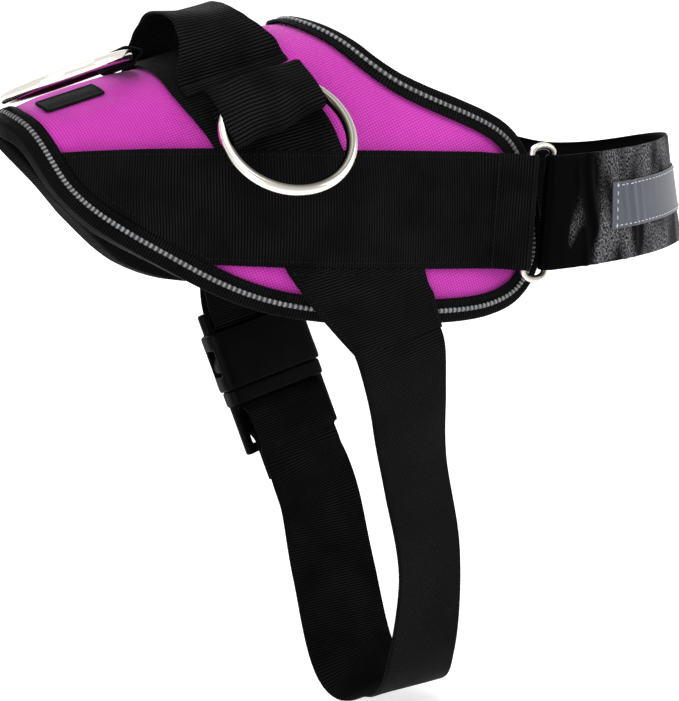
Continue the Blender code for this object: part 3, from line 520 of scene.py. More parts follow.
@dataclass(frozen=True)
class WovenStrap(Finish):
    """Polyester webbing, woven on a narrow loom and dyed black.

    Weft ribs lie across it under fine warp threads, so that it shows close ribs, broken by faint
    columns, with a soft sheen painted on their crowns and painted shade, near black, between them.
    """

    name: str = "woven_polyester_webbing"
    # dark: painted shade in the valleys; light: painted sheen on the rib crowns
    dark: str = "#020202"
    light: str = "#242426"
    roughness: float = 0.6
    specular: float = 0.02
    sheen: float = 0.01
    depth: float = 0.4 * MM
    rib: float = 1.4 * MM
    column: float = 1.1 * MM
    blotch: float = 18.2 * MM

    def pattern(self, add: Adder) -> dict:
        """Ribs from |cos| of the place along the strap, times its columns, with painted sheen on the
        crowns and painted shade in the valleys.

        Ribs are up to twice as coarse as real ones, which the picture would be too small to show.

        Args:
            add: adds a node to the material's tree.

        Returns:
            Inputs, as in Finish.
        """
        place = add("SeparateXYZ", {0: add("UVMap", uv_map="weave")})
        crests = []
        for axis, pitch in (("X", self.rib), ("Y", self.column)):
            turn = add("Math", {0: place.outputs[axis], 1: pi / pitch}, operation="MULTIPLY")
            wave = add("Math", {0: turn}, operation="COSINE")
            crests.append(add("Math", {0: wave}, operation="ABSOLUTE"))
        thread = add("MapRange", {0: crests[1], 2: 0.6, 3: 0.55, 4: 1.0})
        height = add("Math", {0: crests[0], 1: thread}, operation="MULTIPLY")
        # uneven tension in the weave, over a few centimetres
        spot = add("TexCoord").outputs["Object"]
        cloud = add("TexNoise", {"Vector": spot, "Scale": 1 / self.blotch, "Detail": 4.0})
        uneven = add("MapRange", {0: cloud, 1: 0.35, 2: 0.65, 3: 0.35, 4: 1.0})
        # painted sheen and shade: the rib crowns light, the valleys near black
        lit = add("Math", {0: height, 1: 3.0}, operation="POWER")
        share = add("Math", {0: lit, 1: uneven}, operation="MULTIPLY")
        rough = {0: cloud, 1: 0.3, 2: 0.7, 3: self.roughness - 0.08, 4: self.roughness + 0.08}
        rough = add("MapRange", rough)
        return {"share": share, "height": height, "Roughness": rough, "Sheen Roughness": 0.3}


@dataclass(frozen=True)
class DyedNylon(Finish):
    """Coarse nylon cloth, plain woven and dyed fuchsia.

    Its threads cross on the diagonal of the panel, so that it shows a fine lattice of crowns and
    pits, painted brighter on the crowns and darker in the pits as light and shade, matt with a
    faint glow at grazing angles.
    """

    name: str = "woven_nylon_cloth"
    dark: str = "#92147E"
    light: str = "#DA44C2"
    roughness: float = 0.72
    specular: float = 0.2
    sheen: float = 0.15
    depth: float = 0.2 * MM
    strength: float = 0.7
    thread: float = 0.84 * MM
    bias: float = radians(38)
    blotch: float = 33.3 * MM

    def pattern(self, add: Adder) -> dict:
        """A lattice: sin(a) sin(b) of two crossed diagonals; real threads are half as wide.

        Args:
            add: adds a node to the material's tree.

        Returns:
            Inputs, as in Finish.
        """
        place = add("UVMap", uv_map="weave")
        turned = {"Vector": place, "Rotation": (0, 0, self.bias), "Scale": (pi / self.thread,) * 3}
        split = add("SeparateXYZ", {0: add("Mapping", turned)})
        one, two = (add("Math", {0: split.outputs[k]}, operation="SINE") for k in "XY")
        cross = add("Math", {0: one, 1: two}, operation="MULTIPLY")
        height = add("MapRange", {0: cross, 1: -1.0, 2: 1.0})
        spot = add("TexCoord").outputs["Object"]
        cloud = add("TexNoise", {"Vector": spot, "Scale": 1 / self.blotch, "Detail": 5.0})
        uneven = add("MapRange", {0: cloud, 1: 0.35, 2: 0.65, 3: 0.75, 4: 1.0})
        # the lattice tone is painted shade in the pits and painted light on the crowns
        return {
            "share": add("Math", {0: height, 1: uneven}, operation="MULTIPLY"), "height": height
        }


@dataclass(frozen=True)
class DashedPiping(Finish):
    """A reflective woven trim: silver-grey glass-bead dashes between black thread gaps."""

    name: str = "reflective_bead_piping"
    dark: str = "#0B0B0C"
    light: str = "#84868A"
    roughness: float = 0.45
    pitch: float = 2.3 * MM
    blotch: float = 7.14 * MM

    def pattern(self, add: Adder) -> dict:
        """Dashes from the cosine of the place along the trim, worn in spots.

        Args:
            add: adds a node to the material's tree.

        Returns:
            Inputs, as in Finish.
        """
        split = add("SeparateXYZ", {0: add("UVMap", uv_map="weave")})
        turn = add("Math", {0: split.outputs["X"], 1: 2 * pi / self.pitch}, operation="MULTIPLY")
        wave = add("Math", {0: turn}, operation="COSINE")
        dash = add("MapRange", {0: wave, 1: -0.1, 2: 0.5})
        spot = add("TexCoord").outputs["Object"]
        cloud = add("TexNoise", {"Vector": spot, "Scale": 1 / self.blotch, "Detail": 3.0})
        worn = add("MapRange", {0: cloud, 1: 0.3, 2: 0.65, 3: 0.7, 4: 1.0})
        return {"share": add("Math", {0: dash, 1: worn}, operation="MULTIPLY")}


@dataclass(frozen=True)
class ReflectiveTape(Finish):
    """Retroreflective tape: glass beads in grey resin, an even grey with a faint net of cells."""

    name: str = "reflective_glass_bead_tape"
    dark: str = "#373A44"
    light: str = "#40434E"
    roughness: float = 0.42
    metallic: float = 0.25
    depth: float = 0.05 * MM
    strength: float = 0.4
    cell: float = 1.6 * MM

    def pattern(self, add: Adder) -> dict:
        """A net of cells from a Voronoi distance, and a soft metallic lustre.

        Args:
            add: adds a node to the material's tree.

        Returns:
            Inputs, as in Finish.
        """
        cells = {"Vector": add("UVMap", uv_map="weave"), "Scale": 1 / self.cell}
        cells = add("TexVoronoi", cells, feature="DISTANCE_TO_EDGE")
        edge = add("MapRange", {0: cells, 1: 0.0, 2: 0.12})
        return {"share": edge, "height": edge}


@dataclass(frozen=True)
class LoopPile(Finish):
    """The loop side of hook-and-loop tape: a napped nylon pile in black, with a silky streaked sheen
    painted into its colour as grey glints.
    """

    name: str = "brushed_nylon_loop_pile"
    dark: str = "#010102"
    light: str = "#86868A"
    specular: float = 0.015
    sheen: float = 0.005
    depth: float = 0.3 * MM
    strength: float = 0.5
    streak: float = 0.75 * MM
    fold: float = 13 * MM
    middle: float = 152 * MM
    brushed: float = 125 * MM
    ragged: float = 50 * MM
    fade: float = 13 * MM
    inside: tuple = (135 * MM, 0, 0)

    def pattern(self, add: Adder) -> dict:
        """Painted sheen: fine grey glints in soft folds across the strap's outer face, within a stretch
        about its middle.

        The glints and the folds are noise, the folds stretched along the strap's width; the sewn
        ends beyond the sheen stretch stay plain and dark, as does the face towards the inside.

        Args:
            add: adds a node to the material's tree.

        Returns:
            Inputs, as in Finish.
        """
        place = add("UVMap", uv_map="weave")
        noises = []
        for size, tall, detail in ((self.streak, 0.7, 3.0), (self.fold, 0.4, 1.0)):
            stretch = {"Vector": place, "Scale": (1 / size, tall / size, 1)}
            noise = {"Vector": add("Mapping", stretch), "Scale": 1.0, "Detail": detail}
            noises.append(add("TexNoise", noise))
        # the light tone is painted sheen: grain glints, kept to the folds, the middle stretch and the outer
        # face
        share = add("MapRange", {0: noises[0], 1: 0.42, 2: 0.66})
        folds = add("MapRange", {0: noises[1], 1: 0.38, 2: 0.63, 3: 0.02, 4: 1.0})
        along = add("SeparateXYZ", {0: place}).outputs["X"]
        away = add("Math", {0: along, 1: self.middle}, operation="SUBTRACT")
        away = add("Math", {0: away}, operation="ABSOLUTE")
        torn = add("Math", {0: noises[1], 1: -self.ragged, 2: away}, operation="MULTIPLY_ADD")
        edge = self.brushed - self.ragged / 2
        sheen_zone = add("MapRange", {0: torn, 1: edge, 2: edge - self.fade})
        spot = add("TexCoord").outputs
        way = add("VectorMath", {0: spot["Object"], 1: self.inside}, operation="SUBTRACT")
        facing = add("VectorMath", {0: way, 1: spot["Normal"]}, operation="DOT_PRODUCT")
        outer = add("Math", {0: facing, 1: 0.0}, operation="GREATER_THAN")
        for mask in (folds, sheen_zone, outer):
            share = add("Math", {0: share, 1: mask}, operation="MULTIPLY")
        return {"share": share, "height": noises[0]}


@dataclass(frozen=True)
class SpacerMesh(Finish):
    """Warp-knitted polyester spacer mesh in black: rows of small open cells over soft filling, the
    shade in the cells painted as a darker tone.
    """

    name: str = "knitted_spacer_mesh"
    dark: str = "#030304"
    light: str = "#0E0E0F"
    roughness: float = 0.8
    specular: float = 0.04
    depth: float = 0.6 * MM
    strength: float = 0.9
    cell: float = 3.2 * MM

    def pattern(self, add: Adder) -> dict:
        """Open cells from a Voronoi distance over the flat pattern, painted darker as shade.

        Args:
            add: adds a node to the material's tree.

        Returns:
            Inputs, as in Finish.
        """
        place = add("UVMap", uv_map="weave")
        cells = {"Vector": place, "Scale": 1 / self.cell, "Randomness": 0.25}
        yarn = add("MapRange", {0: add("TexVoronoi", cells), 1: 0.22, 2: 0.4})
        return {"share": yarn, "height": yarn}


@dataclass(frozen=True)
class PlatedSteel(Finish):
    """Drawn steel wire, nickel plated: a warm bright mirror, with painted shade and reflection:
    dull brown on the wire's inner side and bright on its outer side.
    """

    name: str = "nickel_plated_steel"
    # painted reflection and shade: the dark tone on the wire's inner side, the light tone on its outer side
    dark: str = "#302B25"
    light: str = "#EAE4DA"
    roughness: float = 0.1
    metallic: float = 1.0
    depth: float = 0.03 * MM
    strength: float = 0.3
    blotch: float = 3.13 * MM

    def pattern(self, add: Adder) -> dict:
        """Painted shade and reflection: tone from the cosine of the angle round the wire, dark on
        the loop's inner side and bright on its outer side, and roughness that wanders.

        Args:
            add: adds a node to the material's tree.

        Returns:
            Inputs, as in Finish.
        """
        # painted shade and reflection: dark on the loop's inner side, bright on its outer side
        split = add("SeparateXYZ", {0: add("UVMap", uv_map="weave")})
        turn = add("Math", {0: split.outputs["Y"], 1: 2 * pi}, operation="MULTIPLY")
        outer = {0: add("Math", {0: turn}, operation="COSINE"), 1: -0.7, 2: 1.0}
        share = add("MapRange", outer, interpolation_type="SMOOTHSTEP")
        spot = add("TexCoord").outputs["Object"]
        cloud = add("TexNoise", {"Vector": spot, "Scale": 1 / self.blotch, "Detail": 4.0})
        rough = {0: cloud, 1: 0.3, 2: 0.75, 3: self.roughness - 0.04, 4: self.roughness + 0.08}
        return {"share": share, "height": cloud, "Roughness": add("MapRange", rough)}


@dataclass(frozen=True)
class MouldedPlastic(Finish):
    """A moulded plastic or rubber with a spark-eroded grain: matt, with paler rubbed high spots."""

    specular: float = 0.04
    depth: float = 0.08 * MM
    strength: float = 0.35
    grain: float = 0.5 * MM
    blotch: float = 11.1 * MM

    def pattern(self, add: Adder) -> dict:
        """Grain from fine noise, in relief and in roughness.

        Args:
            add: adds a node to the material's tree.

        Returns:
            Inputs, as in Finish.
        """
        spot = add("TexCoord").outputs["Object"]
        grain = add("TexNoise", {"Vector": spot, "Scale": 1 / self.grain, "Detail": 2.0})
        cloud = add("TexNoise", {"Vector": spot, "Scale": 1 / self.blotch, "Detail": 5.0})
        share = add("MapRange", {0: cloud, 1: 0.4, 2: 0.75})
        rough = {0: grain, 1: 0.3, 2: 0.7, 3: self.roughness - 0.06, 4: self.roughness + 0.08}
        return {"share": share, "height": grain, "Roughness": add("MapRange", rough)}


@dataclass(frozen=True)
class SewingThread(Finish):
    """Twisted polyester sewing thread: a small soft gloss, and a twist too fine to draw."""

    specular: float = 0.06
    blotch: float = 1.43 * MM

    def pattern(self, add: Adder) -> dict:
        """Tone that changes from stitch to stitch.

        Args:
            add: adds a node to the material's tree.

        Returns:
            Inputs, as in Finish.
        """
        spot = add("TexCoord").outputs["Object"]
        return {"share": add("TexNoise", {"Vector": spot, "Scale": 1 / self.blotch})}


@dataclass(frozen=True)
class StudioPaper(Finish):
    """White matt paper, a little brighter to the eye so that only the shadow shows on it."""

    name: str = "white_studio_paper"
    dark: str = "#F4F4F4"
    light: str = "#F4F4F4"
    roughness: float = 1.0
    specular: float = 0.0
    near: float = 0.5
    far: float = 1.2

    def pattern(self, add: Adder) -> dict:
        """One tone, with a faint glow for the rays that show, growing away from the lamps.

        Args:
            add: adds a node to the material's tree.

        Returns:
            Inputs, as in Finish.
        """
        spot = add("TexCoord").outputs["Object"]
        away = add("VectorMath", {0: spot}, operation="LENGTH")
        level = add("MapRange", {0: away, 1: self.near, 2: self.far, 3: 0.45, 4: 0.65})
        glow = add("Math", {0: shown_rays(add), 1: level}, operation="MULTIPLY")
        return {"share": 1.0, "Emission Color": (1, 1, 1, 1), "Emission Strength": glow}


class Finishes:
    """Every finish of the harness, each made once."""

    def __init__(self) -> None:
        """Makes the materials."""
        # the webbings' light tones are painted sheen on rib crowns, their dark tones painted shade in the
        # valleys
        self.webbing = WovenStrap().material()
        self.band = WovenStrap(
            "close_ribbed_polyester_webbing", light="#1A1A1B", rib=1.2 * MM, column=1.0, depth=0.2 * MM
        ).material()
        self.girth = WovenStrap(
            "fine_woven_polyester_webbing", light="#1E1E1F", rib=1.2 * MM, depth=0.2 * MM
        ).material()
        self.binding = WovenStrap(
            "ribbed_grosgrain_binding", light="#1A1A1B", rib=1.25 * MM, column=1.0, depth=0.25 * MM
        ).material()
        self.cloth = DyedNylon().material()
        self.lining = SpacerMesh().material()
        self.piping = DashedPiping().material()
        self.tape = ReflectiveTape().material()
        self.pile = LoopPile().material()
        self.steel = PlatedSteel().material()
        self.acetal = MouldedPlastic("moulded_acetal", "#030304", "#070708", 0.4).material()
        self.rubber = MouldedPlastic("moulded_rubber", "#0A0A0B", "#141415", 0.6, grain=0.8 * MM).material()
        self.thread = SewingThread("black_polyester_thread", "#08080A", "#161618").material()
        self.pale_thread = SewingThread("white_polyester_thread", "#A5A7AB", "#D4D5D8").material()


def dress(
    obj: Piece, material: bpy.types.Material, *nodes: str, body: str = "harness", slot: str = "black_webbing"
) -> None:
    """Gives a piece its finish, its body and the CAD nodes that it stands for.

    Args:
        obj: the piece.
        material: its finish.
        nodes: the CAD nodes that it replaces.
        body: the CAD body that it rides on.
        slot: not used.
    """
    obj.data.materials.clear()
    obj.data.materials.append(material)
    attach(obj, body)
    if nodes:
        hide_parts(*nodes)
    log.info("%s: %d faces, rides on %s", obj.name, len(obj.data.polygons), body)


# The saddle


@dataclass
class SaddleForm:
    """The saddle's flat pattern and its bend over the dog's back, shared by all that lies on it."""

    sandwich: float = 6.2 * MM
    edge_drop: float = 1.6 * MM
    edge_run: float = 16 * MM
    flap_tilt: float = radians(100)
    tilt_length: float = 65 * MM
    tuck: float = 24 * MM
    tuck_front: float = 20 * MM
    tuck_run: float = 110 * MM
    tuck_top: float = 8 * MM
    tuck_height: float = 72 * MM
    far_fold: float = 20 * MM
    far_fold_x: float = -55 * MM
    far_fold_run: float = 54 * MM
    rear_edge: tuple = (
        (-111, 0), (-110.5, 16), (-101.5, 62), (-72, 101), (-29, 137), (43, 163), (78, 167), (97, 153),
    )
    nose_tip: tuple = (103, 127)
    front_edge: tuple = ((104, 107), (95, 86), (60, 54), (46.5, 25), (40, 0))
    steps: int = 8
    band_drop: float = 97.7 * MM
    band_slope: float = radians(17.8)
    band_half: float = 25 * MM
    base_x: float = -16 * MM
    base_skew: float = 8 * MM
    base_half: float = 25 * MM
    skew_start: float = 25 * MM
    skew_run: float = 42 * MM
    label_x: float = -79 * MM
    label_drop: float = 9 * MM

    @cached_property
    def outline(self) -> Array:
        """The binding's outer edge in the flat pattern.

        Returns:
            Rows of (x, d) on a closed curve from the rear tip.
        """
        half = np.array([*self.rear_edge, self.nose_tip, *self.front_edge]) * MM
        mirrored = half[-2:0:-1] * (1, -1)
        return through(np.concatenate([half, mirrored]), self.steps, closed=True)

    @cached_property
    def edge_rows(self) -> Array:
        """Rows of (x, d, inward x, inward d) on the outline."""
        tangent = unit(np.roll(self.outline, -1, 0) - np.roll(self.outline, 1, 0))
        return np.hstack([self.outline, tangent[:, 1:], -tangent[:, :1]])

    @cached_property
    def section(self) -> tuple[Array, Array, Array]:
        """The saddle's bend, square to its ridge.

        Returns:
            Arc length, half width and height: integrals of the tilt's cosine and minus its sine.
        """
        longest, stations = 0.4, 4001
        length = np.linspace(0, longest, stations)
        tilt = self.flap_tilt * (1 - np.exp(-length / self.tilt_length))
        step = length[1]
        width = np.r_[0, np.cumsum((np.cos(tilt[1:]) + np.cos(tilt[:-1])) / 2 * step)]
        height = -np.r_[0, np.cumsum((np.sin(tilt[1:]) + np.sin(tilt[:-1])) / 2 * step)]
        return length, width, height

    def edge_distance(self, x: Array, d: Array) -> Array:
        """How far pattern places lie inside the outline.

        Args:
            x: places along the ridge.
            d: places down a flap.

        Returns:
            The distance to the nearest of the outline's segments, and 0 outside it.
        """
        points = np.stack([x, d], -1).reshape(-1, 2)
        start, end = self.outline, np.roll(self.outline, -1, 0)
        run = end - start
        rise = np.where(run[:, 1] == 0, 1, run[:, 1])
        parts = []
        # in blocks, which keep the arrays small
        block_size = 4000
        for block in np.array_split(points, max(1, len(points) // block_size)):
            share = ((block[:, None] - start) * run).sum(-1) / (run**2).sum(-1)
            nearest = start + np.clip(share, 0, 1)[..., None] * run
            distance = np.linalg.norm(block[:, None] - nearest, axis=-1).min(1)
            above = (start[:, 1] > block[:, 1:]) != (end[:, 1] > block[:, 1:])
            crossing = start[:, 0] + (block[:, 1:] - start[:, 1]) / rise * run[:, 0]
            inside = (above & (block[:, :1] < crossing)).sum(1) % 2 == 1
            parts.append(np.where(inside, distance, 0))
        return np.concatenate(parts).reshape(np.shape(x))

    def base_shift(self, d: Array) -> Array:
        """How far forward the strap under the handle has shifted at each place down a flap."""
        return self.base_skew * smooth_step((np.abs(d) - self.skew_start) / self.skew_run)

    def band_line(self, x: Array) -> Array:
        """How far down a flap the side band's middle line lies at each place along the ridge."""
        return self.band_drop + x * np.tan(self.band_slope)

    def outer_face(self, x: Array, d: Array) -> Array:
        """The bent outer face.

        Args:
            x: places along the ridge.
            d: places down a flap.

        Returns:
            World points: the section, tucked in to the rear, with the left rear corner rolled in.
        """
        drop = np.abs(d)
        deep = smooth_step((drop - self.tuck_top) / self.tuck_height)
        tuck = self.tuck * smooth_step((self.tuck_front - x) / self.tuck_run) * deep
        fold = smooth_step((d - self.tuck_top) / self.tuck_height)
        fold = fold * smooth_step((self.far_fold_x - x) / self.far_fold_run)
        length, width, height = self.section
        y = np.sign(d) * (np.interp(drop, length, width) - tuck) - self.far_fold * fold
        z = np.interp(drop, length, height) + self.sandwich + self.far_fold / 2 * fold
        return np.stack([x, y, z], -1)

    def normal(self, x: Array, d: Array) -> Array:
        """The ways out of the outer face.

        Args:
            x: places along the ridge.
            d: places down a flap.

        Returns:
            Unit vectors, from short steps along x and d.
        """
        step = 0.5 * MM
        forward = self.outer_face(x + step, d) - self.outer_face(x - step, d)
        across = self.outer_face(x, d + step) - self.outer_face(x, d - step)
        return unit(np.cross(forward, across))

    def skin(self, x: Array, d: Array, h: Array | float, crown: Array | float = 1.0) -> Array:
        """World points over the pattern.

        Args:
            x: place along the ridge.
            d: place down a flap.
            h: height above the outer face.
            crown: how much of the edge's drop counts, 1 on the outer face and 0 on the lining.

        Returns:
            The face's points plus h, less the edge drop, times its normal.
        """
        values = (np.asarray(value, float) for value in (x, d, h, crown))
        x, d, h, crown = np.broadcast_arrays(*values)
        h = h - crown * self.edge_drop * (1 - smooth_step(self.edge_distance(x, d) / self.edge_run))
        return self.outer_face(x, d) + h[..., None] * self.normal(x, d)


@dataclass
class Saddle:
    """The padded saddle: woven cover over foam, mesh lining, folded binding and dashed piping."""

    form: SaddleForm
    finishes: Finishes
    inset: float = 2.0 * MM
    shell_low: float = -5.1 * MM
    lining_top: float = -5.4 * MM
    binding: float = 0.8 * MM
    binding_outside: float = 11 * MM
    binding_inside: float = 9 * MM
    leg_gap: float = 0.7 * MM
    under_gap: float = 1.4 * MM
    piping_width: float = 2.1 * MM
    piping_height: float = 0.9 * MM
    piping_inset: float = 5.7 * MM
    piping_gap: float = 0.3 * MM
    dash: float = 2.3 * MM
    puff: float = 1.1 * MM
    dip: float = 0.45 * MM
    seam_width: float = 3 * MM
    swell: float = 13 * MM
    rim_swell: float = 15 * MM
    tab_room: tuple = (16 * MM, 8 * MM)
    tab_swell: float = 8 * MM
    rows: int = 150
    columns: int = 84
    stations: int = 620
    edge_points: int = 300

    def panel(self, rows: int, columns: int) -> tuple[Array, Array]:
        """The panel's pattern grid.

        A point at share s from the rear tip and t from the ridge lies t of the way from the ridge
        to the rear edge at s, plus s squared times the front edge's bow.

        Args:
            rows: stations from the rear tip to the front edge.
            columns: stations from the ridge to the edge of one flap.

        Returns:
            x and d, right edge to left edge in each row.
        """
        edge = self.form.edge_rows
        nose = self.form.steps * len(self.form.rear_edge)
        notch = len(edge) // 2
        # stations lie closer together at the rear tip and at the flap's edge
        shares = np.linspace(0, 1, rows) ** 1.3
        across = np.linspace(0, 1, columns)
        across = 0.55 * across + 0.45 * np.sin(across * pi / 2) ** 1.2
        rear = self.laid(edge[: nose + 1], shares)
        front = self.laid(edge[nose : notch + 1][::-1], across)
        ridge = np.stack([rear[0, 0] + (front[0, 0] - rear[0, 0]) * shares, 0 * shares], -1)
        grid = (1 - across)[None, :, None] * ridge[:, None] + across[None, :, None] * rear[:, None]
        straight = (1 - across)[:, None] * ridge[-1] + across[:, None] * rear[-1]
        grid = grid + (shares**2)[:, None, None] * (front - straight)[None]
        x = np.concatenate([grid[:, :0:-1, 0], grid[..., 0]], 1)
        d = np.concatenate([-grid[:, :0:-1, 1], grid[..., 1]], 1)
        return x, d

    def laid(self, rows: Array, shares: Array) -> Array:
        """Places along an edge, moved in by the panel's inset.

        Args:
            rows: the edge's rows, as in edge_rows.
            shares: shares of its length.

        Returns:
            Rows of (x, d).
        """
        length = lengths_along(rows[:, :2])
        values = np.stack([np.interp(shares * length[-1], length, column) for column in rows.T], -1)
        return values[:, :2] + values[:, 2:] * self.inset

    def relief(self, x: Array, d: Array) -> Array:
        """The cover's swell between its seams, as moves of the cloth along its normal.

        It rises by puff away from the binding, bands, base strap and tab, dips along those seams
        and carries a slow ripple.

        Args:
            x: places along the ridge.
            d: places down a flap.

        Returns:
            Heights above the outer face.
        """
        form = self.form
        drop, slope = np.abs(d) - form.band_drop, form.band_slope
        u = x * cos(slope) + drop * sin(slope)
        v = drop * cos(slope) - x * sin(slope)
        rim = form.edge_distance(x, d) - self.binding_outside
        band = np.abs(v) - form.band_half
        base = np.maximum(np.abs(x - form.base_shift(d) - form.base_x) - form.base_half, v)
        ahead, across = self.tab_room
        tab = np.maximum(np.abs(x - form.label_x) - ahead, np.abs(d + form.label_drop) - across)
        free = smooth_step(rim / self.rim_swell) * smooth_step(band / self.swell)
        free = free * smooth_step(base / self.swell) * smooth_step(tab / self.tab_swell)
        seams = bump(rim, self.seam_width) + bump(band, self.seam_width)
        seams = seams + 0.7 * bump(base, self.seam_width)
        ripple = np.sin(70 * u + 3 * np.sin(45 * v)) * np.sin(95 * v + 20 * x)
        pucker = np.sin(2 * pi * u / (9 * MM)) * bump(band - 4 * MM, 4 * MM)
        return free * (self.puff + 0.3 * MM * ripple) - self.dip * seams + 0.12 * MM * pucker

    def build(self) -> None:
        """Makes and dresses the cover, the lining, the binding, the piping and the edge stitching."""
        x, d = self.panel(self.rows, self.columns)
        uv = np.stack([x, d], -1)
        top = self.form.skin(x, d, self.relief(x, d))
        low = self.form.skin(x, d, self.shell_low, 0.0)
        cover = cloth_slab("saddle_cover", top, low, uv, weld=True)
        dress(cover, self.finishes.cloth, "saddle_shell", "saddle_foam", slot="fuchsia_nylon")

        quilt = 0.35 * MM * (np.sin(150 * x + 60 * d) * np.sin(150 * x - 60 * d))
        inner = self.form.skin(x, d, -self.form.sandwich - np.maximum(quilt, 0), 0.0)
        outer = self.form.skin(x, d, self.lining_top, 0.0)
        lining = cloth_slab("saddle_lining_mesh", outer, inner, uv, weld=True)
        dress(lining, self.finishes.lining, "saddle_lining", slot="black_lining")

        self.build_binding()
        self.build_piping()
        self.build_edge_stitches()

    def carried(self, count: int, profile: Array) -> tuple[Array, Array]:
        """A profile carried round the saddle's edge.

        Args:
            count: how many stations the edge gets.
            profile: rows of (inset, height, crown), or stations x rows of them.

        Returns:
            Points, stations x rows x 3, and the arc length at each station and back at the first.
        """
        edge = self.form.edge_rows
        rows = evenly(np.concatenate([edge, edge[:1]]), count + 1, 2)
        length = lengths_along(rows[:, :2])
        rows = rows[:-1]
        profile = np.broadcast_to(profile, (count, *np.shape(profile)[-2:]))
        places = rows[:, None, :2] + rows[:, None, 2:] * profile[..., :1]
        points = self.form.skin(places[..., 0], places[..., 1], profile[..., 1], profile[..., 2])
        return points, length

    def build_binding(self) -> None:
        """The folded binding: its outer leg, a round fold over the edge and its inner leg."""
        above = self.leg_gap + self.binding
        below = -self.form.sandwich - self.under_gap - self.binding
        bend = 1.6 * MM
        angle = np.radians(np.linspace(90, 180, 7))
        turn = np.stack([bend + bend * np.cos(angle), bend * np.sin(angle) - bend], -1)
        outer = np.linspace(self.binding_outside, bend, 12)
        inner = np.linspace(bend, self.binding_inside, 8)[1:]
        crease = 0.25 * MM * bump(outer - self.piping_inset, 1.6 * MM)
        fold = np.concatenate([
            np.stack([outer, above + 0.2 * MM - crease - 0.2 * MM * (outer > 10 * MM), 0 * outer + 1], -1),
            np.stack([turn[1:, 0], above + turn[1:, 1], 0 * angle[1:] + 1], -1),
            np.stack([turn[::-1, 0], below - turn[::-1, 1], 0 * angle], -1),
            np.stack([inner, 0 * inner + below, 0 * inner], -1),
        ])
        tangent = unit(np.gradient(fold[:, :2], axis=0))
        back = fold.copy()
        back[:, :2] += self.binding * np.stack([-tangent[:, 1], tangent[:, 0]], -1)
        count = self.stations
        station = np.linspace(0, 2 * pi, count, endpoint=False)[:, None]
        wander = 0.18 * MM * (np.sin(23 * station) + np.sin(41 * station + 1))
        wavy = np.broadcast_to(fold, (count, *fold.shape)).copy()
        wavy[..., 1] += np.maximum(wander, 0) * (fold[:, 2] > 0.5)
        top, length = self.carried(count, wavy)
        bottom, _ = self.carried(count, back)
        place = lengths_along(fold[:, :2])
        uv = np.stack(np.meshgrid(length, place, indexing="ij"), -1)
        piece = cloth_slab("edge_binding_tape", top, bottom, uv, closed=True)
        dress(piece, self.finishes.binding, "edge_binding", slot="black_binding")

    def build_piping(self) -> None:
        """The dashed piping: a bead whose height steps down in the gap after each dash."""
        edge = self.form.edge_rows
        perimeter = lengths_along(np.concatenate([edge, edge[:1]])[:, :2])[-1]
        dashes = round(perimeter / self.dash)
        step = np.array([1.0, 1.0, 1.0, 0.55, 0.55])
        count = len(step) * dashes
        half = self.piping_width / 2
        low = self.leg_gap + self.binding + self.piping_gap
        angle = np.linspace(pi, 0, 6)
        rise = np.tile(step, dashes)[:, None] * np.sin(angle) * self.piping_height
        inset = self.piping_inset + half * np.cos(angle) + 0 * rise
        crown = 1 + 0 * rise
        top, _ = self.carried(count, np.stack([inset, low + rise, crown], -1))
        bottom, _ = self.carried(count, np.stack([inset, low - 0.25 * MM + 0 * rise, crown], -1))
        # the dashes' own count, so that the pattern closes where it began
        place = np.arange(count + 1) / len(step) * self.dash - 0.4 * self.dash
        uv = np.stack(np.meshgrid(place, half * np.cos(angle), indexing="ij"), -1)
        piece = cloth_slab("dashed_piping", top, bottom, uv, closed=True)
        dress(piece, self.finishes.piping, "reflective_piping", slot="reflective_grey")

    def build_edge_stitches(self) -> None:
        """The row of stitches that holds the binding's inner edge."""
        edge = self.form.edge_rows
        inset = self.binding_outside - 1.5 * MM
        places = evenly(np.concatenate([edge, edge[:1]]), self.edge_points, 2)[:-1]
        spots = places[:, :2] + places[:, 2:] * inset
        height = self.leg_gap + self.binding + 0.05 * MM
        points = self.form.skin(spots[:, 0], spots[:, 1], height)
        ways = np.roll(points, -1, 0) - np.roll(points, 1, 0)
        normals = self.form.normal(spots[:, 0], spots[:, 1])
        piece = stitches("binding_stitches", points, ways, normals, 2.2 * MM, 0.22 * MM)
        dress(piece, self.finishes.thread, slot="black_binding")


# Side bands, link rings and chest strap


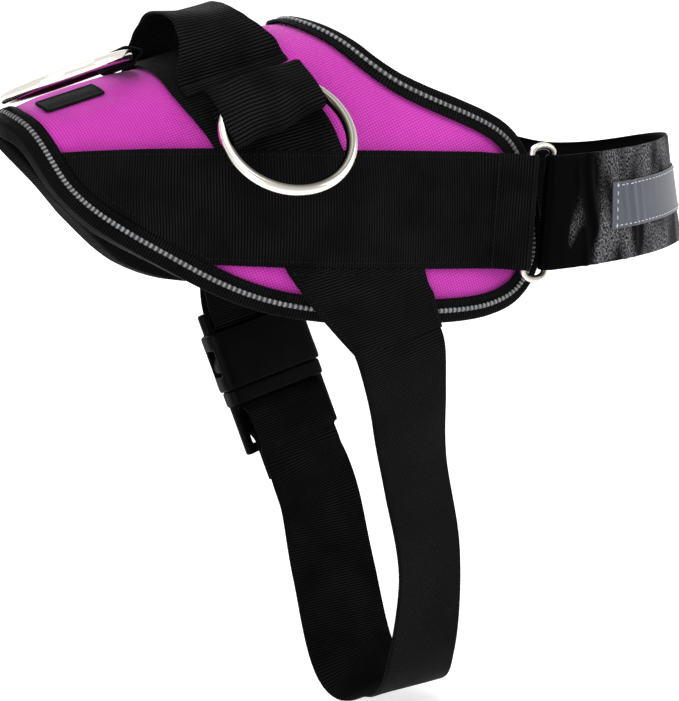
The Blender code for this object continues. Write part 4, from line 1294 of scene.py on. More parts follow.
@dataclass
class SideBand:
    """A side band with the link ring that its front fold carries."""

    form: SaddleForm
    finishes: Finishes
    side: Side
    width: float = 50 * MM
    thick: float = 1.5 * MM
    gap: float = 0.3 * MM
    flap_gap: float = 1.0 * MM
    stitch: float = 84 * MM
    rise: float = 12 * MM
    reach: float = 95.5 * MM
    wire: float = 3 * MM
    spacing: float = 11 * MM
    bow: float = 3.5 * MM
    play: float = 0.5 * MM
    lift: float = 7.6 * MM
    rear_inset: float = 10.7 * MM
    margin: float = 2.6 * MM
    rear_margin: float = 4 * MM
    front_margin: float = 14 * MM
    seam: Seam = Seam()

    def place(self, u: Array | float, v: Array | float) -> tuple[Array, Array]:
        """Pattern places under the band.

        Args:
            u: places along the band, forward.
            v: places across it, positive down the flap.

        Returns:
            x along the ridge, and the drop down the flap.
        """
        slope = self.form.band_slope
        x = u * cos(slope) - v * sin(slope)
        return x, self.form.band_drop + u * sin(slope) + v * cos(slope)

    @cached_property
    def link(self) -> tuple[Array, Array, Array]:
        """The ring's rear bar.

        Returns:
            Its middle, and the ways forward along the band and up the bar.
        """
        x, drop = self.place(self.reach, 0.0)
        middle = self.form.outer_face(np.array(x), np.array(self.side.value * drop))
        middle[1] += self.side.value * self.lift
        slope = self.form.band_slope
        return middle, np.array([cos(slope), 0, -sin(slope)]), np.array([sin(slope), 0, cos(slope)])

    def starts(self, v: Array) -> Array:
        """Where strands come out from under the rear binding.

        Args:
            v: places across the band.

        Returns:
            Each strand's first place along the band.
        """
        u = np.linspace(-160 * MM, 0, 801)
        inset = self.form.edge_distance(*self.place(u[:, None], v[None]))
        return u[np.argmax(inset > self.rear_inset, axis=0)]

    def mapped(self, u: Array, v: Array, h: Array) -> Array:
        """World points of the band.

        Args:
            u: places along the band.
            v: places across it.
            h: heights above the saddle's outer face.

        Returns:
            Points on the skin at the rear that pass into the ring's plane at the front.
        """
        x, drop = self.place(u, v)
        laid = self.form.skin(x, self.side.value * drop, h)
        middle, forward, up = self.link
        stiff = middle + (u - self.reach)[..., None] * forward - v[..., None] * up
        stiff = stiff + (self.side.value * (h - self.lift))[..., None] * np.array([0, 1.0, 0])
        blend = smooth_step((u - self.stitch + self.rise) / self.rise)[..., None]
        return laid * (1 - blend) + stiff * blend

    def build(self) -> None:
        """Makes and dresses the band, its stitching, its sewn row and the link ring."""
        flat = self.flap_gap + self.thick / 2
        upper = flat + self.thick + self.gap
        turn = self.wire / 2 + self.gap + self.thick / 2
        lift_start = self.stitch - self.rise
        arc = np.radians(np.linspace(112, -100, 25))
        wrap = np.stack([self.reach + turn * np.cos(arc), self.lift + turn * np.sin(arc)], -1)
        half_way = (self.stitch + self.reach) / 2
        rise = through(
            [(lift_start, flat), (self.stitch - 5 * MM, flat + 0.6 * (upper - flat)), (self.stitch, upper),
             (half_way, (upper + self.lift + turn) / 2 + 0.4 * MM), tuple(wrap[0])], 6,
        )[:-1]
        under = through(
            [tuple(wrap[-1]), (half_way, (flat + self.lift - turn) / 2), (self.stitch - 1 * MM, flat)], 6
        )[1:]
        lying = np.linspace(0, 1, 100)[:-1]
        front = np.concatenate([rise, wrap, under])
        path = np.concatenate([np.stack([lift_start * lying - (1 - lying), 0 * lying + flat], -1), front])
        tangent = unit(np.gradient(path, axis=0))
        normal = np.stack([-tangent[:, 1], tangent[:, 0]], -1)
        v = strand_places(self.width, 41)
        half = edge_thickness(v, self.thick)
        starts = self.starts(v)
        run = np.r_[lying, np.ones(len(front))][:, None]
        ahead = np.r_[0 * lying, front[:, 0] - lift_start][:, None]
        u = starts + (lift_start - starts) * run + ahead
        # slack between the sewn edges: a low swell with a few long ripples
        free = smooth_step((v + self.width / 2) / (9 * MM)) * smooth_step((self.width / 2 - v) / (9 * MM))
        swell = 0.22 * MM * (1 + np.sin(u * 90 + 2 * np.sin(v * 80))) * free * (1 - run**12)
        sheets = []
        for way in (1, -1):
            h = path[:, 1:] + way * half * normal[:, 1:] + swell
            sheets.append(self.mapped(u + way * half * normal[:, :1], v + 0 * u, h))
        along = np.r_[0 * lying, lengths_along(front)][:, None]
        uv = np.stack([starts + (lift_start - starts) * run + along, v + 0 * u], -1)
        band = cloth_slab(f"side_band_webbing_{self.side.suffix}", *sheets, uv)
        dress(band, self.finishes.band, f"side_band_{self.side.suffix}")
        self.build_stitches(flat + self.thick / 2)
        self.build_bartack()
        self.build_link()

    def build_stitches(self, height: float) -> None:
        """Lock stitches along both edges and at the rear.

        Args:
            height: the band's outer face above the saddle's.
        """
        edge = self.width / 2 - self.margin
        rear = self.starts(np.array([-edge, edge])) + self.rear_margin
        seams = []
        for v, start in zip((-edge, edge), rear):
            u = np.linspace(start, self.stitch - self.front_margin, 60)
            seams.append((u, np.full(u.shape, v)))
        across = np.linspace(-edge, edge, 40)
        seams.append((self.starts(across) + self.rear_margin, across))
        lines = []
        for u, v in seams:
            x, drop = self.place(u, v)
            normals = self.form.normal(x, self.side.value * drop)
            lines.append((self.mapped(u, v, np.full(u.shape, height)), normals))
        rows = sew(f"band_stitches_{self.side.suffix}", lines, self.seam)
        dress(rows, self.finishes.thread)

    def build_bartack(self) -> None:
        """The double zigzag row that closes the fold behind the ring."""
        middle, forward, up = self.link
        out = np.array([0, self.side.value, 0.0])
        count = 40
        level = np.linspace(-self.width / 2 + 1 * MM, self.width / 2 - 1 * MM, count)
        zigzag = np.where(np.arange(count) % 2 == 0, 1, -1)
        lift = self.flap_gap + 2 * (self.thick + self.gap) - self.lift - 0.1 * MM
        back = self.stitch - self.reach - 3 * MM
        spots = middle + back * forward + level[:, None] * up + lift * out
        ways = forward * 0.35 + zigzag[:, None] * up * 0.5
        normals = np.tile(out, (count, 1))
        spots = np.concatenate([spots, spots + 5 * MM * forward])
        ways, normals = np.tile(ways, (2, 1)), np.tile(normals, (2, 1))
        row = stitches(f"bartack_stitches_{self.side.suffix}", spots, ways, normals, 1.5 * MM, 0.3 * MM)
        dress(row, self.finishes.thread, f"band_bartack_{self.side.suffix}")

    def build_link(self) -> None:
        """The link ring: two bars joined by half ellipses, spacing wide and bow high."""
        middle, forward, up = self.link
        angle = np.linspace(0, pi, 25) + np.array([[0], [pi]])
        straight = np.array([[1], [-1]]) * (self.width / 2 + self.play)
        ahead = self.spacing / 2 * (1 + np.cos(angle))
        level = straight + self.bow * np.sin(angle)
        centres = middle + ahead[..., None] * forward + level[..., None] * up
        ways = self.bow * np.cos(angle)[..., None] * forward
        ways = unit(ways + self.spacing / 2 * np.sin(angle)[..., None] * up)
        ring = wire_ring(
            f"link_wire_{self.side.suffix}", centres.reshape(-1, 3), ways.reshape(-1, 3),
            np.array([0, 1.0, 0]), self.wire / 2,
        )
        suffix = self.side.suffix
        dress(ring, self.finishes.steel, f"link_ring_{suffix}", body=f"link_{suffix}", slot="nickel_steel")


@dataclass
class ChestStrap:
    """The chest strap between the link rings, its folded-back ends and its reflective strip."""

    bands: dict[Side, SideBand]
    finishes: Finishes
    width: float = 50 * MM
    thick: float = 1.5 * MM
    gap: float = 0.3 * MM
    depth: float = 107 * MM
    pitch: float = 0.08
    pitch_end: float = radians(49)
    pitch_run: float = radians(77)
    lean: float = radians(43)
    lean_start: float = radians(13)
    lean_run: float = radians(140)
    lean_end: float = radians(172)
    lean_fall: float = radians(45)
    tab_length: float = 46 * MM
    strip_width: float = 21 * MM
    strip_thick: float = 0.6 * MM
    strip_start: float = radians(18.3)
    wrap_steps: int = 25
    crease: float = 1.1 * MM
    seam: Seam = Seam(length=2.1 * MM, radius=0.3 * MM)

    @property
    def reach(self) -> float:
        """From a bar's middle to the middle of the strap round it."""
        return self.bands[Side.RIGHT].wire / 2 + self.gap + self.thick / 2

    def bar(self, side: Side) -> Array:
        """The middle of a link ring's front bar."""
        middle, forward, _ = self.bands[side].link
        return middle + self.bands[side].spacing * forward

    def point(self, turn: Array, lift: float = 0.0) -> Array:
        """The middle line: half an ellipse, depth sin(turn) ahead and half width cos(turn) across.

        Its right half rises by a share of the way ahead, as the photograph's does.

        Args:
            turn: angles round the ellipse, from the right ring to the left one.
            lift: how much larger the ellipse is drawn.

        Returns:
            Points on the line.
        """
        _, forward, up = self.bands[Side.RIGHT].link
        base = self.bar(Side.RIGHT)
        half = abs(base[1]) + self.reach + lift
        ahead, across = (self.depth + lift) * np.sin(turn), -half * np.cos(turn)
        rise = self.pitch * ahead * (1 - smooth_step((turn - self.pitch_end) / self.pitch_run))
        line = base * (1, 0, 1) + ahead[:, None] * forward + rise[:, None] * up
        return line + across[:, None] * np.array([0, 1.0, 0])

    def up(self, turn: Array) -> Array:
        """The way across the strap: upright, with the left half leaning in.

        Args:
            turn: angles as in point.

        Returns:
            Unit vectors.
        """
        _, forward, up = self.bands[Side.RIGHT].link
        rise = smooth_step((turn - self.lean_start) / self.lean_run)
        lean = self.lean * rise * smooth_step((self.lean_end - turn) / self.lean_fall)
        inward = -np.outer(np.sin(turn), forward) + np.outer(np.cos(turn), [0, 1.0, 0])
        return np.cos(lean)[:, None] * up + np.sin(lean)[:, None] * inward

    def wrap(self, side: Side) -> Array:
        """Half a circle round a front bar.

        Args:
            side: the bar's side.

        Returns:
            Points from the strap's inner end to its outer end.
        """
        _, forward, _ = self.bands[side].link
        angle = np.radians(np.linspace(0, 180, self.wrap_steps))
        out = np.array([0, side.value, 0])
        ways = np.outer(np.sin(angle), forward) + np.outer(np.cos(angle), out)
        return self.bar(side) - self.reach * ways

    def wrinkle(self, turn: Array, v: Array) -> Array:
        """Creases across the strap near each ring: sines of the place along it, outwards only.

        Args:
            turn: angles as in point.
            v: places across the strap.

        Returns:
            Heights over the strap's face.
        """
        along = turn * 100
        near = smooth_step((turn - 0.03) / 0.1) * smooth_step((0.75 - turn) / 0.5)
        far = smooth_step((pi - 0.03 - turn) / 0.1) * smooth_step((turn - pi + 0.75) / 0.5)
        wave = np.sin(along * 0.62 + 1.6 * np.sin(v * 95) + 0.8) * np.sin(along * 0.37 + v * 60)
        return self.crease * np.maximum(wave, 0) * (near + far)

    def build(self) -> None:
        """Makes and dresses the strap, the strip with its stitching and both folded ends."""
        turn = np.linspace(0, pi, 301)[1:-1]
        path = np.concatenate([self.wrap(Side.RIGHT), self.point(turn), self.wrap(Side.LEFT)[::-1]])
        ends = np.tile(self.bands[Side.RIGHT].link[2], (self.wrap_steps, 1))
        ways = np.concatenate([ends, self.up(turn), ends])
        turns = np.r_[np.zeros(self.wrap_steps), turn, np.full(self.wrap_steps, pi)][:, None]
        places = strand_places(self.width, 41)
        relief = self.wrinkle(turns, places[None])
        strap = strap_body("chest_strap_pile", path, ways, places, self.thick, relief)
        dress(strap, self.finishes.pile, "chest_strap", body="chest", slot="black_pile")
        self.build_strip()
        for side in Side:
            self.build_tab(side)

    def build_strip(self) -> None:
        """The reflective strip on the strap's outer face, edged with white stitches."""
        turn = np.linspace(self.strip_start, pi - self.strip_start, 241)
        side, out = strap_ways(self.point(turn), self.up(turn))
        lift = self.thick / 2 + self.gap + self.strip_thick / 2
        line = self.point(turn) + lift * out
        places = strand_places(self.strip_width, 13)
        relief = self.wrinkle(turn[:, None], places[None])
        strip = strap_body("reflective_tape_strip", line, self.up(turn), places, self.strip_thick, relief)
        dress(strip, self.finishes.tape, "reflective_strip", body="chest", slot="reflective_grey")
        lines = []
        edge = self.strip_width / 2 - 1.5 * MM
        for v in (-edge, edge):
            stand = self.strip_thick / 2 + self.wrinkle(turn, np.full(turn.shape, v))
            points = line + v * side + stand[:, None] * out
            lines.append((points[3:-3], out[3:-3]))
        for k in (3, -4):
            level = np.linspace(-edge, edge, 12)[:, None]
            points = line[k] + level * side[k] + self.strip_thick / 2 * out[k]
            lines.append((points, np.tile(out[k], (12, 1))))
        rows = sew("strip_stitches", lines, self.seam)
        dress(rows, self.finishes.pale_thread, body="chest", slot="reflective_grey")

    def build_tab(self, side: Side) -> None:
        """A strap end, folded back inside the strap from its ring's front bar.

        Args:
            side: the end's side.
        """
        _, forward, _ = self.bands[side].link
        ahead = np.linspace(3 * self.gap, self.tab_length, 60)
        turn = np.arcsin(ahead / self.depth)
        turn = turn if side is Side.RIGHT else pi - turn
        laid = self.point(turn, -self.thick - 1.5 * self.gap)
        start = self.bar(side) + np.outer(ahead, forward) - np.array([0, side.value * self.reach, 0])
        blend = smooth_step((ahead - 3 * self.gap) / (18 * MM))[:, None]
        path = start * (1 - blend) + laid * blend
        places = strand_places(self.width - 2 * MM, 31)
        tab = strap_body(f"folded_tab_{side.suffix}", path, self.up(turn), places, self.thick)
        suffix = side.suffix
        dress(tab, self.finishes.webbing, f"chest_tab_{suffix}", body=f"tab_{suffix}")


# Handle and rings


@dataclass
class Handle:
    """The carrying handle, the strap under it, and the tab beside the ridge."""

    form: SaddleForm
    finishes: Finishes
    handle_x: float = -12 * MM
    width: float = 50 * MM
    thick: float = 1.5 * MM
    gap: float = 0.3 * MM
    ridge_gap: float = 0.6 * MM
    foot: float = 33 * MM
    seat: float = 5 * MM
    rise: float = 16.5 * MM
    grip_width: float = 31 * MM
    grip_lean: float = radians(8)
    tuck: float = 0.2 * MM
    label_length: float = 28 * MM
    label_width: float = 12 * MM
    label_thick: float = 1.0 * MM
    margin: float = 2.6 * MM
    seam: Seam = Seam()
    # the right half of the arch: shares of the way out from the ridge and up to the top
    arch: tuple = ((0.95, 0.22), (0.86, 0.46), (0.72, 0.7), (0.42, 0.94), (0, 1))

    def laid(self, drop: float, side: Side, ahead: float = 0.0) -> Array:
        """A point at the middle of a strap that lies on the base strap."""
        height = self.ridge_gap + 1.5 * self.thick + 2 * self.gap
        return self.form.skin(self.handle_x + ahead, side.value * drop, height)

    def build(self) -> None:
        """Makes and dresses the base strap with its stitching, the handle and the tab."""
        self.build_base()
        self.build_handle()
        self.build_label()

    def build_base(self) -> None:
        """The base strap: across the ridge in the pattern, ending along the side bands' top edges."""
        form = self.form
        places = strand_places(self.width, 41)
        x = form.base_x + places
        end = form.band_line(x + form.base_skew) - (self.width / 2 - self.tuck) / cos(form.band_slope)
        d = np.linspace(-1, 1, 141)[:, None] * end
        half = edge_thickness(places, self.thick)
        middle = self.ridge_gap + self.thick / 2
        skewed = x + form.base_shift(d)
        top, low = form.skin(skewed, d, middle + half + 0 * d), form.skin(skewed, d, middle - half + 0 * d)
        uv = np.stack([d, x + 0 * d], -1)
        strap = cloth_slab("base_strap_webbing", top, low, uv)
        dress(strap, self.finishes.webbing, "handle_base_strap")
        lines = []
        for place in (-self.width / 2 + self.margin, self.width / 2 - self.margin):
            reach = form.band_line(form.base_x + place) - 29 * MM
            for way in (-1, 1):
                drop = way * np.linspace(5 * MM, reach, 40)
                spot = form.base_x + place + form.base_shift(drop)
                points = form.skin(spot, drop, self.ridge_gap + self.thick)
                lines.append((points, form.normal(spot, drop)))
        rows = sew("base_strap_stitches", lines, self.seam)
        dress(rows, self.finishes.thread)

    def build_handle(self) -> None:
        """The handle: an arch over the ridge that narrows and leans back, its edges curled down."""
        feet = [self.laid(self.foot - k * self.seat / 2, Side.RIGHT) for k in range(3)]
        out = abs(feet[-1][1])
        low = feet[-1][2]
        top = self.laid(0.0, Side.RIGHT)[2] + self.rise - self.thick
        arch = [
            (self.handle_x, -share * out, low + height * (top - low))
            for share, height in self.arch
        ]
        near = np.array([*feet, *arch])
        path = through(np.concatenate([near, near[-2::-1] * (1, -1, 1)]), 14)
        lift = smooth_step((path[:, 2] - low) / (top - low))
        lean = self.grip_lean * lift
        half = self.width / 2
        seat = self.laid(self.foot, Side.RIGHT, half) - self.laid(self.foot, Side.RIGHT, -half)
        seat = np.stack([0 * lift + seat[0], -np.sign(path[:, 1]) * seat[1], 0 * lift + seat[2]], -1)
        grip = np.stack([np.cos(lean), 0 * lean, -np.sin(lean)], -1)
        ways = unit(seat) * (1 - lift[:, None]) + grip * lift[:, None]
        widths = self.width + (self.grip_width - self.width) * lift
        length = lengths_along(path)[:, None]
        edges = 1 + 0.012 * np.sin(length * 620) * np.sin(length * 170)
        places = strand_places(1.0, 41)[None] * widths[:, None] * edges
        curl = 1.2 * MM * lift[:, None] * (1 - (2 * places / widths[:, None]) ** 2)
        ripple = 0.3 * MM * np.sin(length * 160 + 2 * np.sin(places * 110)) * lift[:, None]
        handle = strap_body("handle_webbing", path, ways, places, self.thick, curl + ripple)
        dress(handle, self.finishes.webbing, "top_handle")

    def build_label(self) -> None:
        """The bare tab: a rounded plate whose rim stands above its sunk face."""
        a, b = np.meshgrid(np.linspace(-1, 1, 49), np.linspace(-1, 1, 25), indexing="ij")
        pull = 1 - 0.05 * np.abs(a * b) ** 8
        x = self.form.label_x + a * pull * self.label_length / 2
        d = -self.form.label_drop + b * pull * self.label_width / 2
        inside = np.minimum((1 - np.abs(a)) * self.label_length / 2, (1 - np.abs(b)) * self.label_width / 2)
        sunk = 0.35 * MM * smooth_step((inside - 1.2 * MM) / (0.5 * MM))
        edge = 0.5 * MM * (1 - smooth_step(inside / (0.6 * MM)))
        high = self.ridge_gap + self.label_thick - sunk - edge
        top, low = self.form.skin(x, d, high), self.form.skin(x, d, self.ridge_gap)
        tab = cloth_slab("bare_rubber_tab", top, low, np.stack([x, d], -1))
        dress(tab, self.finishes.rubber, "label_tab", slot="black_rubber")


@dataclass
class SleevedRing:
    """An O-ring in a folded webbing sleeve that is sewn along a hinge line."""

    finishes: Finishes
    ring: str
    sleeve: str
    body: str
    hinge: Array
    out: Array
    axis: Array
    width: float
    weave: bpy.types.Material
    wave: float = 1.2 * MM
    droop: float = 0.0
    flare: float = 0.0
    outside: float = 60 * MM
    wire: float = 5 * MM
    thick: float = 1.5 * MM
    gap: float = 0.3 * MM

    @property
    def normal(self) -> Array:
        """The way out of the ring's plane."""
        return unit(np.cross(self.axis, self.out))

    def build(self) -> None:
        """Makes and dresses the sleeve and the ring."""
        self.build_sleeve()
        self.build_ring()

    def sleeve_loop(self) -> tuple[Array, float, float]:
        """The sleeve's middle line, square to the hinge line.

        It is half a circle round the wire's far side, two straight layers and tight corners where
        they are sewn together at the hinge.

        Returns:
            Rows of (ahead, high), and how far ahead of the hinge the loop starts and ends.
        """
        inside = self.wire / 2 + self.gap
        middle = inside + self.thick / 2
        hole = self.outside / 2 - self.wire
        length = self.outside / 2 - np.sqrt(hole**2 - (self.width / 2) ** 2) + 3 * self.gap
        corner = 0.8 * inside
        near = self.gap + self.thick / 2
        far = near + length + self.thick
        quarter = np.linspace(0, 1, 9) * pi / 2
        straight = np.linspace(0, 1, 14)[1:-1, None]
        arcs = []
        for place, height, radius, turn in (
            (far - middle, 0, middle, -1), (far - middle, 0, middle, 0),
            (near + corner, middle - corner, corner, 1), (near + corner, -middle + corner, corner, 2),
        ):
            angle = quarter + turn * pi / 2
            arcs.append(np.stack([place + radius * np.cos(angle), height + radius * np.sin(angle)], -1))
        loop = np.concatenate([
            arcs[0], arcs[1][1:], arcs[1][-1] + (arcs[2][0] - arcs[1][-1]) * straight,
            arcs[2], arcs[2][-1] + (arcs[3][0] - arcs[2][-1]) * straight,
            arcs[3], arcs[3][-1] + (arcs[0][0] - arcs[3][-1]) * straight,
        ])
        return loop, near, far

    def build_sleeve(self) -> None:
        """The folded sleeve: its loop carried along the hinge line, with slack towards the fold."""
        loop, near, far = self.sleeve_loop()
        tangent = unit(np.roll(loop, -1, 0) - np.roll(loop, 1, 0))
        wall = np.stack([tangent[:, 1], -tangent[:, 0]], -1)
        places = strand_places(self.width, 41)
        half = edge_thickness(places, self.thick)
        # the fold's edge wanders outwards, as slack webbing does
        share = smooth_step((loop[:, 0] - near) / (far - near))[:, None]
        wander = 0.5 + 0.5 * np.sin(places * 190 + 1.2) * np.cos(places * 75)
        rear = 0.5 - np.sign(self.axis[0]) * places / self.width
        slack = (self.wave * wander + self.droop * rear) * share
        # the two layers are sewn flat at the hinge, except where the wire passes close to it
        ends = smooth_step((np.abs(places) / self.width - 0.12) / 0.26)
        flat = 1 - 0.6 * ends * (1 - smooth_step((loop[:, :1] - near) / (0.6 * (far - near))))
        sheets = []
        for way in (1, -1):
            ahead = loop[:, :1] + way * half * wall[:, :1] + slack
            high = (loop[:, 1:] + way * half * wall[:, 1:]) * flat
            spots = self.hinge + ahead[..., None] * self.out + high[..., None] * self.normal
            sheets.append(spots + (places - self.flare * rear * share)[..., None] * self.axis)
        around = lengths_along(np.concatenate([loop, loop[:1]]))
        uv = np.stack(np.meshgrid(around, places, indexing="ij"), -1)
        sleeve = cloth_slab(f"{self.sleeve}_webbing", *sheets, uv, closed=True)
        dress(sleeve, self.weave, self.sleeve, body=self.body)

    def build_ring(self) -> None:
        """The O-ring: round wire bent to a circle, resting in the sleeve's fold."""
        angle = np.linspace(0, 2 * pi, 120, endpoint=False)
        ways = np.outer(np.cos(angle), self.out) + np.outer(np.sin(angle), self.axis)
        reach = 2 * self.gap + self.thick + self.outside / 2
        centre = self.hinge + reach * self.out
        line = centre + (self.outside - self.wire) / 2 * ways
        ring = wire_ring(f"{self.ring}_wire", line, ways, self.normal, self.wire / 2)
        dress(ring, self.finishes.steel, self.ring, body=self.body, slot="nickel_steel")


# Girth strap and buckle


@dataclass
class Girth:
    """The girth strap, its anchors on the flaps and the side-release buckle."""

    form: SaddleForm
    finishes: Finishes
    width: float = 40 * MM
    anchor_width: float = 60 * MM
    anchor_x: float = 8 * MM
    anchor_end: float = 42.5 * MM
    girth_x: float = 22 * MM
    strap_x: float = 19.5 * MM
    flare: float = 3.2 * MM
    ends: dict = field(default_factory=lambda: {Side.RIGHT: 163 * MM, Side.LEFT: 145 * MM})
    thick: float = 1.5 * MM
    gap: float = 0.3 * MM
    flap_gap: float = 1.0 * MM
    over_edge: float = 3.0 * MM
    rim: float = 11 * MM
    tuck: float = 0.2 * MM
    seam: Seam = Seam(3.0 * MM, 2.2 * MM, 0.25 * MM)
    # the free strap's (x, y, z) in millimetres under the ridge, and its twist in degrees
    route: tuple = (
        (19.9, -67, -141, 0), (20.3, -60.1, -165.6, -5), (21.9, -51.3, -198.5, -14),
        (22.4, -45.3, -244, -13), (14.2, -31.8, -293.4, -3), (14.9, -5.8, -313, 9),
        (11.3, 22.5, -306.5, -12), (16.6, 35.5, -264.7, -11), (21.5, 43.5, -233, -6),
    )
    mouth: tuple = (19, 61.3, -172)
    tilt: float = radians(16.8)
    socket_length: float = 37 * MM
    bar_thick: float = 5 * MM
    bar_length: float = 4 * MM
    slack: float = 2.9 * MM
    voxel: float = 0.42 * MM
    fuller: float = 0.3 * MM
    rounding: int = 22
    plug_base: float = 7.5 * MM
    plug_length: float = 31 * MM
    lock_bar: float = 4 * MM
    lock_thick: float = 3.6 * MM
    lock_middle: float = -17 * MM

    @cached_property
    def buckle_frame(self) -> tuple[Array, Array, Array]:
        """The buckle's place.

        Returns:
            The middle of the socket's mouth, and the ways inward and up.
        """
        mouth = np.array(self.mouth) * MM + (0, 0, self.form.sandwich)
        inward = np.array([0, -cos(self.tilt), sin(self.tilt)])
        return mouth, inward, np.array([0, sin(self.tilt), cos(self.tilt)])

    def in_buckle(self, places: Array | list) -> Array:
        """World points in the buckle's middle plane.

        Args:
            places: rows of (inward, up).

        Returns:
            A point for each row.
        """
        mouth, inward, up = self.buckle_frame
        places = np.asarray(places)
        return mouth + places[:, :1] * inward + places[:, 1:] * up

    def build(self) -> None:
        """Makes and dresses both anchors, the strap, the short strap and the buckle."""
        for side in Side:
            self.build_anchor(side)
        self.build_strap()
        self.build_short_strap()
        self.build_buckle()

    def build_anchor(self, side: Side) -> None:
        """An anchor: a trapezoid of webbing in the pattern that rises over the binding at its end.

        Args:
            side: the flap that it lies on.
        """
        end, full = self.ends[side], self.ends[Side.RIGHT]
        share = np.linspace(0, 1, 70)[:, None]
        across = strand_places(1.0, 41)[None]
        top_x = self.anchor_x + across * self.anchor_width
        form = self.form
        start = form.band_line(top_x) + (form.band_half - self.tuck) / cos(form.band_slope)
        reach = (end - form.band_drop) / (full - form.band_drop)
        end_x = self.strap_x + across * self.anchor_end
        x = top_x + (end_x - top_x) * share**1.3 * reach
        drop = start + share * (end - start)
        clear = 1 - smooth_step((form.edge_distance(x, drop) - self.rim - 2 * MM) / (6 * MM))
        low = self.flap_gap + (self.over_edge - self.flap_gap) * clear
        half = edge_thickness(across[0] * self.width, self.thick)
        middle = low + self.thick / 2
        d = side.value * drop
        top, under = form.skin(x, d, middle + half), form.skin(x, d, middle - half)
        uv = np.stack([drop, across * self.anchor_width + 0 * drop], -1)
        anchor = cloth_slab(f"anchor_webbing_{side.suffix}", top, under, uv)
        dress(anchor, self.finishes.girth, f"girth_anchor_{side.suffix}")
        # a row down each edge, and one across below the band
        seams = ((slice(4, -6), 2), (slice(4, -6), -3), (5, slice(2, -2)))
        lines = [(top[seam], form.normal(x[seam], d[seam])) for seam in seams]
        rows = sew(f"anchor_stitches_{side.suffix}", lines, self.seam)
        dress(rows, self.finishes.thread)

    def lock_route(self) -> list[tuple[float, float]]:
        """The strap's way through the ladder lock: up inside, round the bar and out.

        Returns:
            Rows of (inward, up).
        """
        high = self.lock_middle + self.lock_bar / 2
        low = self.lock_middle - self.lock_bar / 2
        near = self.lock_thick / 2 + self.thick / 2 + 2 * self.gap
        far = near + self.thick + 2 * self.gap
        slot = -self.plug_base - self.thick / 2 - 0.1 * MM
        end = -self.plug_length + self.lock_bar
        # slack in the outer layer hangs as a hump over the lower bar
        return [
            (far, -self.plug_length - 4 * MM), (far - 0.1 * MM, -self.plug_length - 0.5 * MM),
            (far + 2.1 * MM, -self.plug_length + 1.6 * MM), (far + 2.6 * MM, end + 2 * MM),
            (far + 1.8 * MM, high - 2 * MM), (far + 0.6 * MM, high + 3 * MM),
            (near - 0.8 * MM, slot - 1.2 * MM), (0, slot), (-near + 0.6 * MM, slot - 1.6 * MM),
            (-near - 0.4 * MM, high), (-near, low + 0.5 * MM), (-near + 2.3 * MM, low - 2.5 * MM),
            (near - 1.8 * MM, (low + end) / 2 - 0.6 * MM), (near, end + 0.6 * MM),
            (near, -self.plug_length), (near, -self.plug_length - 14 * MM),
        ]

    def build_strap(self) -> None:
        """The girth strap: a smooth, slightly twisted line from the right anchor to the ladder lock."""
        # its first few millimetres are tucked under the anchor's end
        high = self.over_edge - self.thick / 2 - 0.05 * MM
        start = self.form.skin(self.strap_x, -(self.ends[Side.RIGHT] - 4 * MM), high)
        route = np.array(self.route)
        free = route[:, :3] * MM + (0, 0, self.form.sandwich)
        lock = self.in_buckle(self.lock_route())
        lower = lock[0] - 9 * MM * self.buckle_frame[2]
        twist = np.radians(np.r_[0, route[:, 3], np.zeros(len(lock) + 1)])
        line = through(np.column_stack([np.concatenate([[start], free, [lower], lock]), twist]), 12)
        path, twist = line[:, :3], line[:, 3:]
        side, normal = strap_ways(path, np.tile([1.0, 0, 0], (len(path), 1)))
        ways = np.cos(twist) * side + np.sin(twist) * normal
        places = strand_places(self.width, 33)
        length = lengths_along(path)[:, None]
        loose = smooth_step((length - 12 * MM) / (30 * MM))
        loose = loose * smooth_step((length[-1] - 0.09 - length) / 0.03)
        relief = loose * 0.5 * MM * np.sin(length * 45 + 30 * places) * (2 * places / self.width)
        # the rear edge is drawn out where the strap leaves the anchor
        rear = self.flare * (1 - smooth_step((length - 6 * MM) / (32 * MM))) * (0.5 - places / self.width)
        strap = strap_body("girth_webbing", path, ways, places - rear, self.thick, relief)
        dress(strap, self.finishes.girth, "girth_strap")

    def short_route(self, top: Array) -> list[tuple[float, float]]:
        """The short strap's way round the socket's bar and up to the left anchor.

        Args:
            top: its end on the anchor.

        Returns:
            Rows of (inward, up) on a closed loop that starts beside the bar.
        """
        mouth, inward, up = self.buckle_frame
        bar_middle = self.socket_length - self.bar_length / 2
        bar_low = self.socket_length - self.bar_length
        reach = self.bar_thick / 2 + self.gap + self.thick / 2
        lowest = bar_low - self.gap - self.thick / 2 - self.slack
        top_in, top_up = (top - mouth) @ inward, (top - mouth) @ up
        layer = (self.thick + self.gap) / 2
        corner = (self.gap + self.thick / 2) * cos(pi / 4)
        under = [
            (reach, bar_low - self.slack), (self.bar_thick / 2 + corner, bar_low - corner - self.slack),
            (self.bar_thick / 2, lowest),
        ]
        middle_up = 0.4 * bar_middle + 0.6 * top_up
        loop = [(-place, level) for place, level in under] + [(0, lowest)] + under[::-1]
        loop += [(reach, self.socket_length), (0.5 * (reach + top_in + layer), middle_up)]
        loop += [(top_in + layer, top_up - 1.5 * MM), (top_in, top_up), (top_in - layer, top_up - 1.5 * MM)]
        return loop + [(0.5 * (top_in - layer - reach), middle_up), (-reach, self.socket_length)]

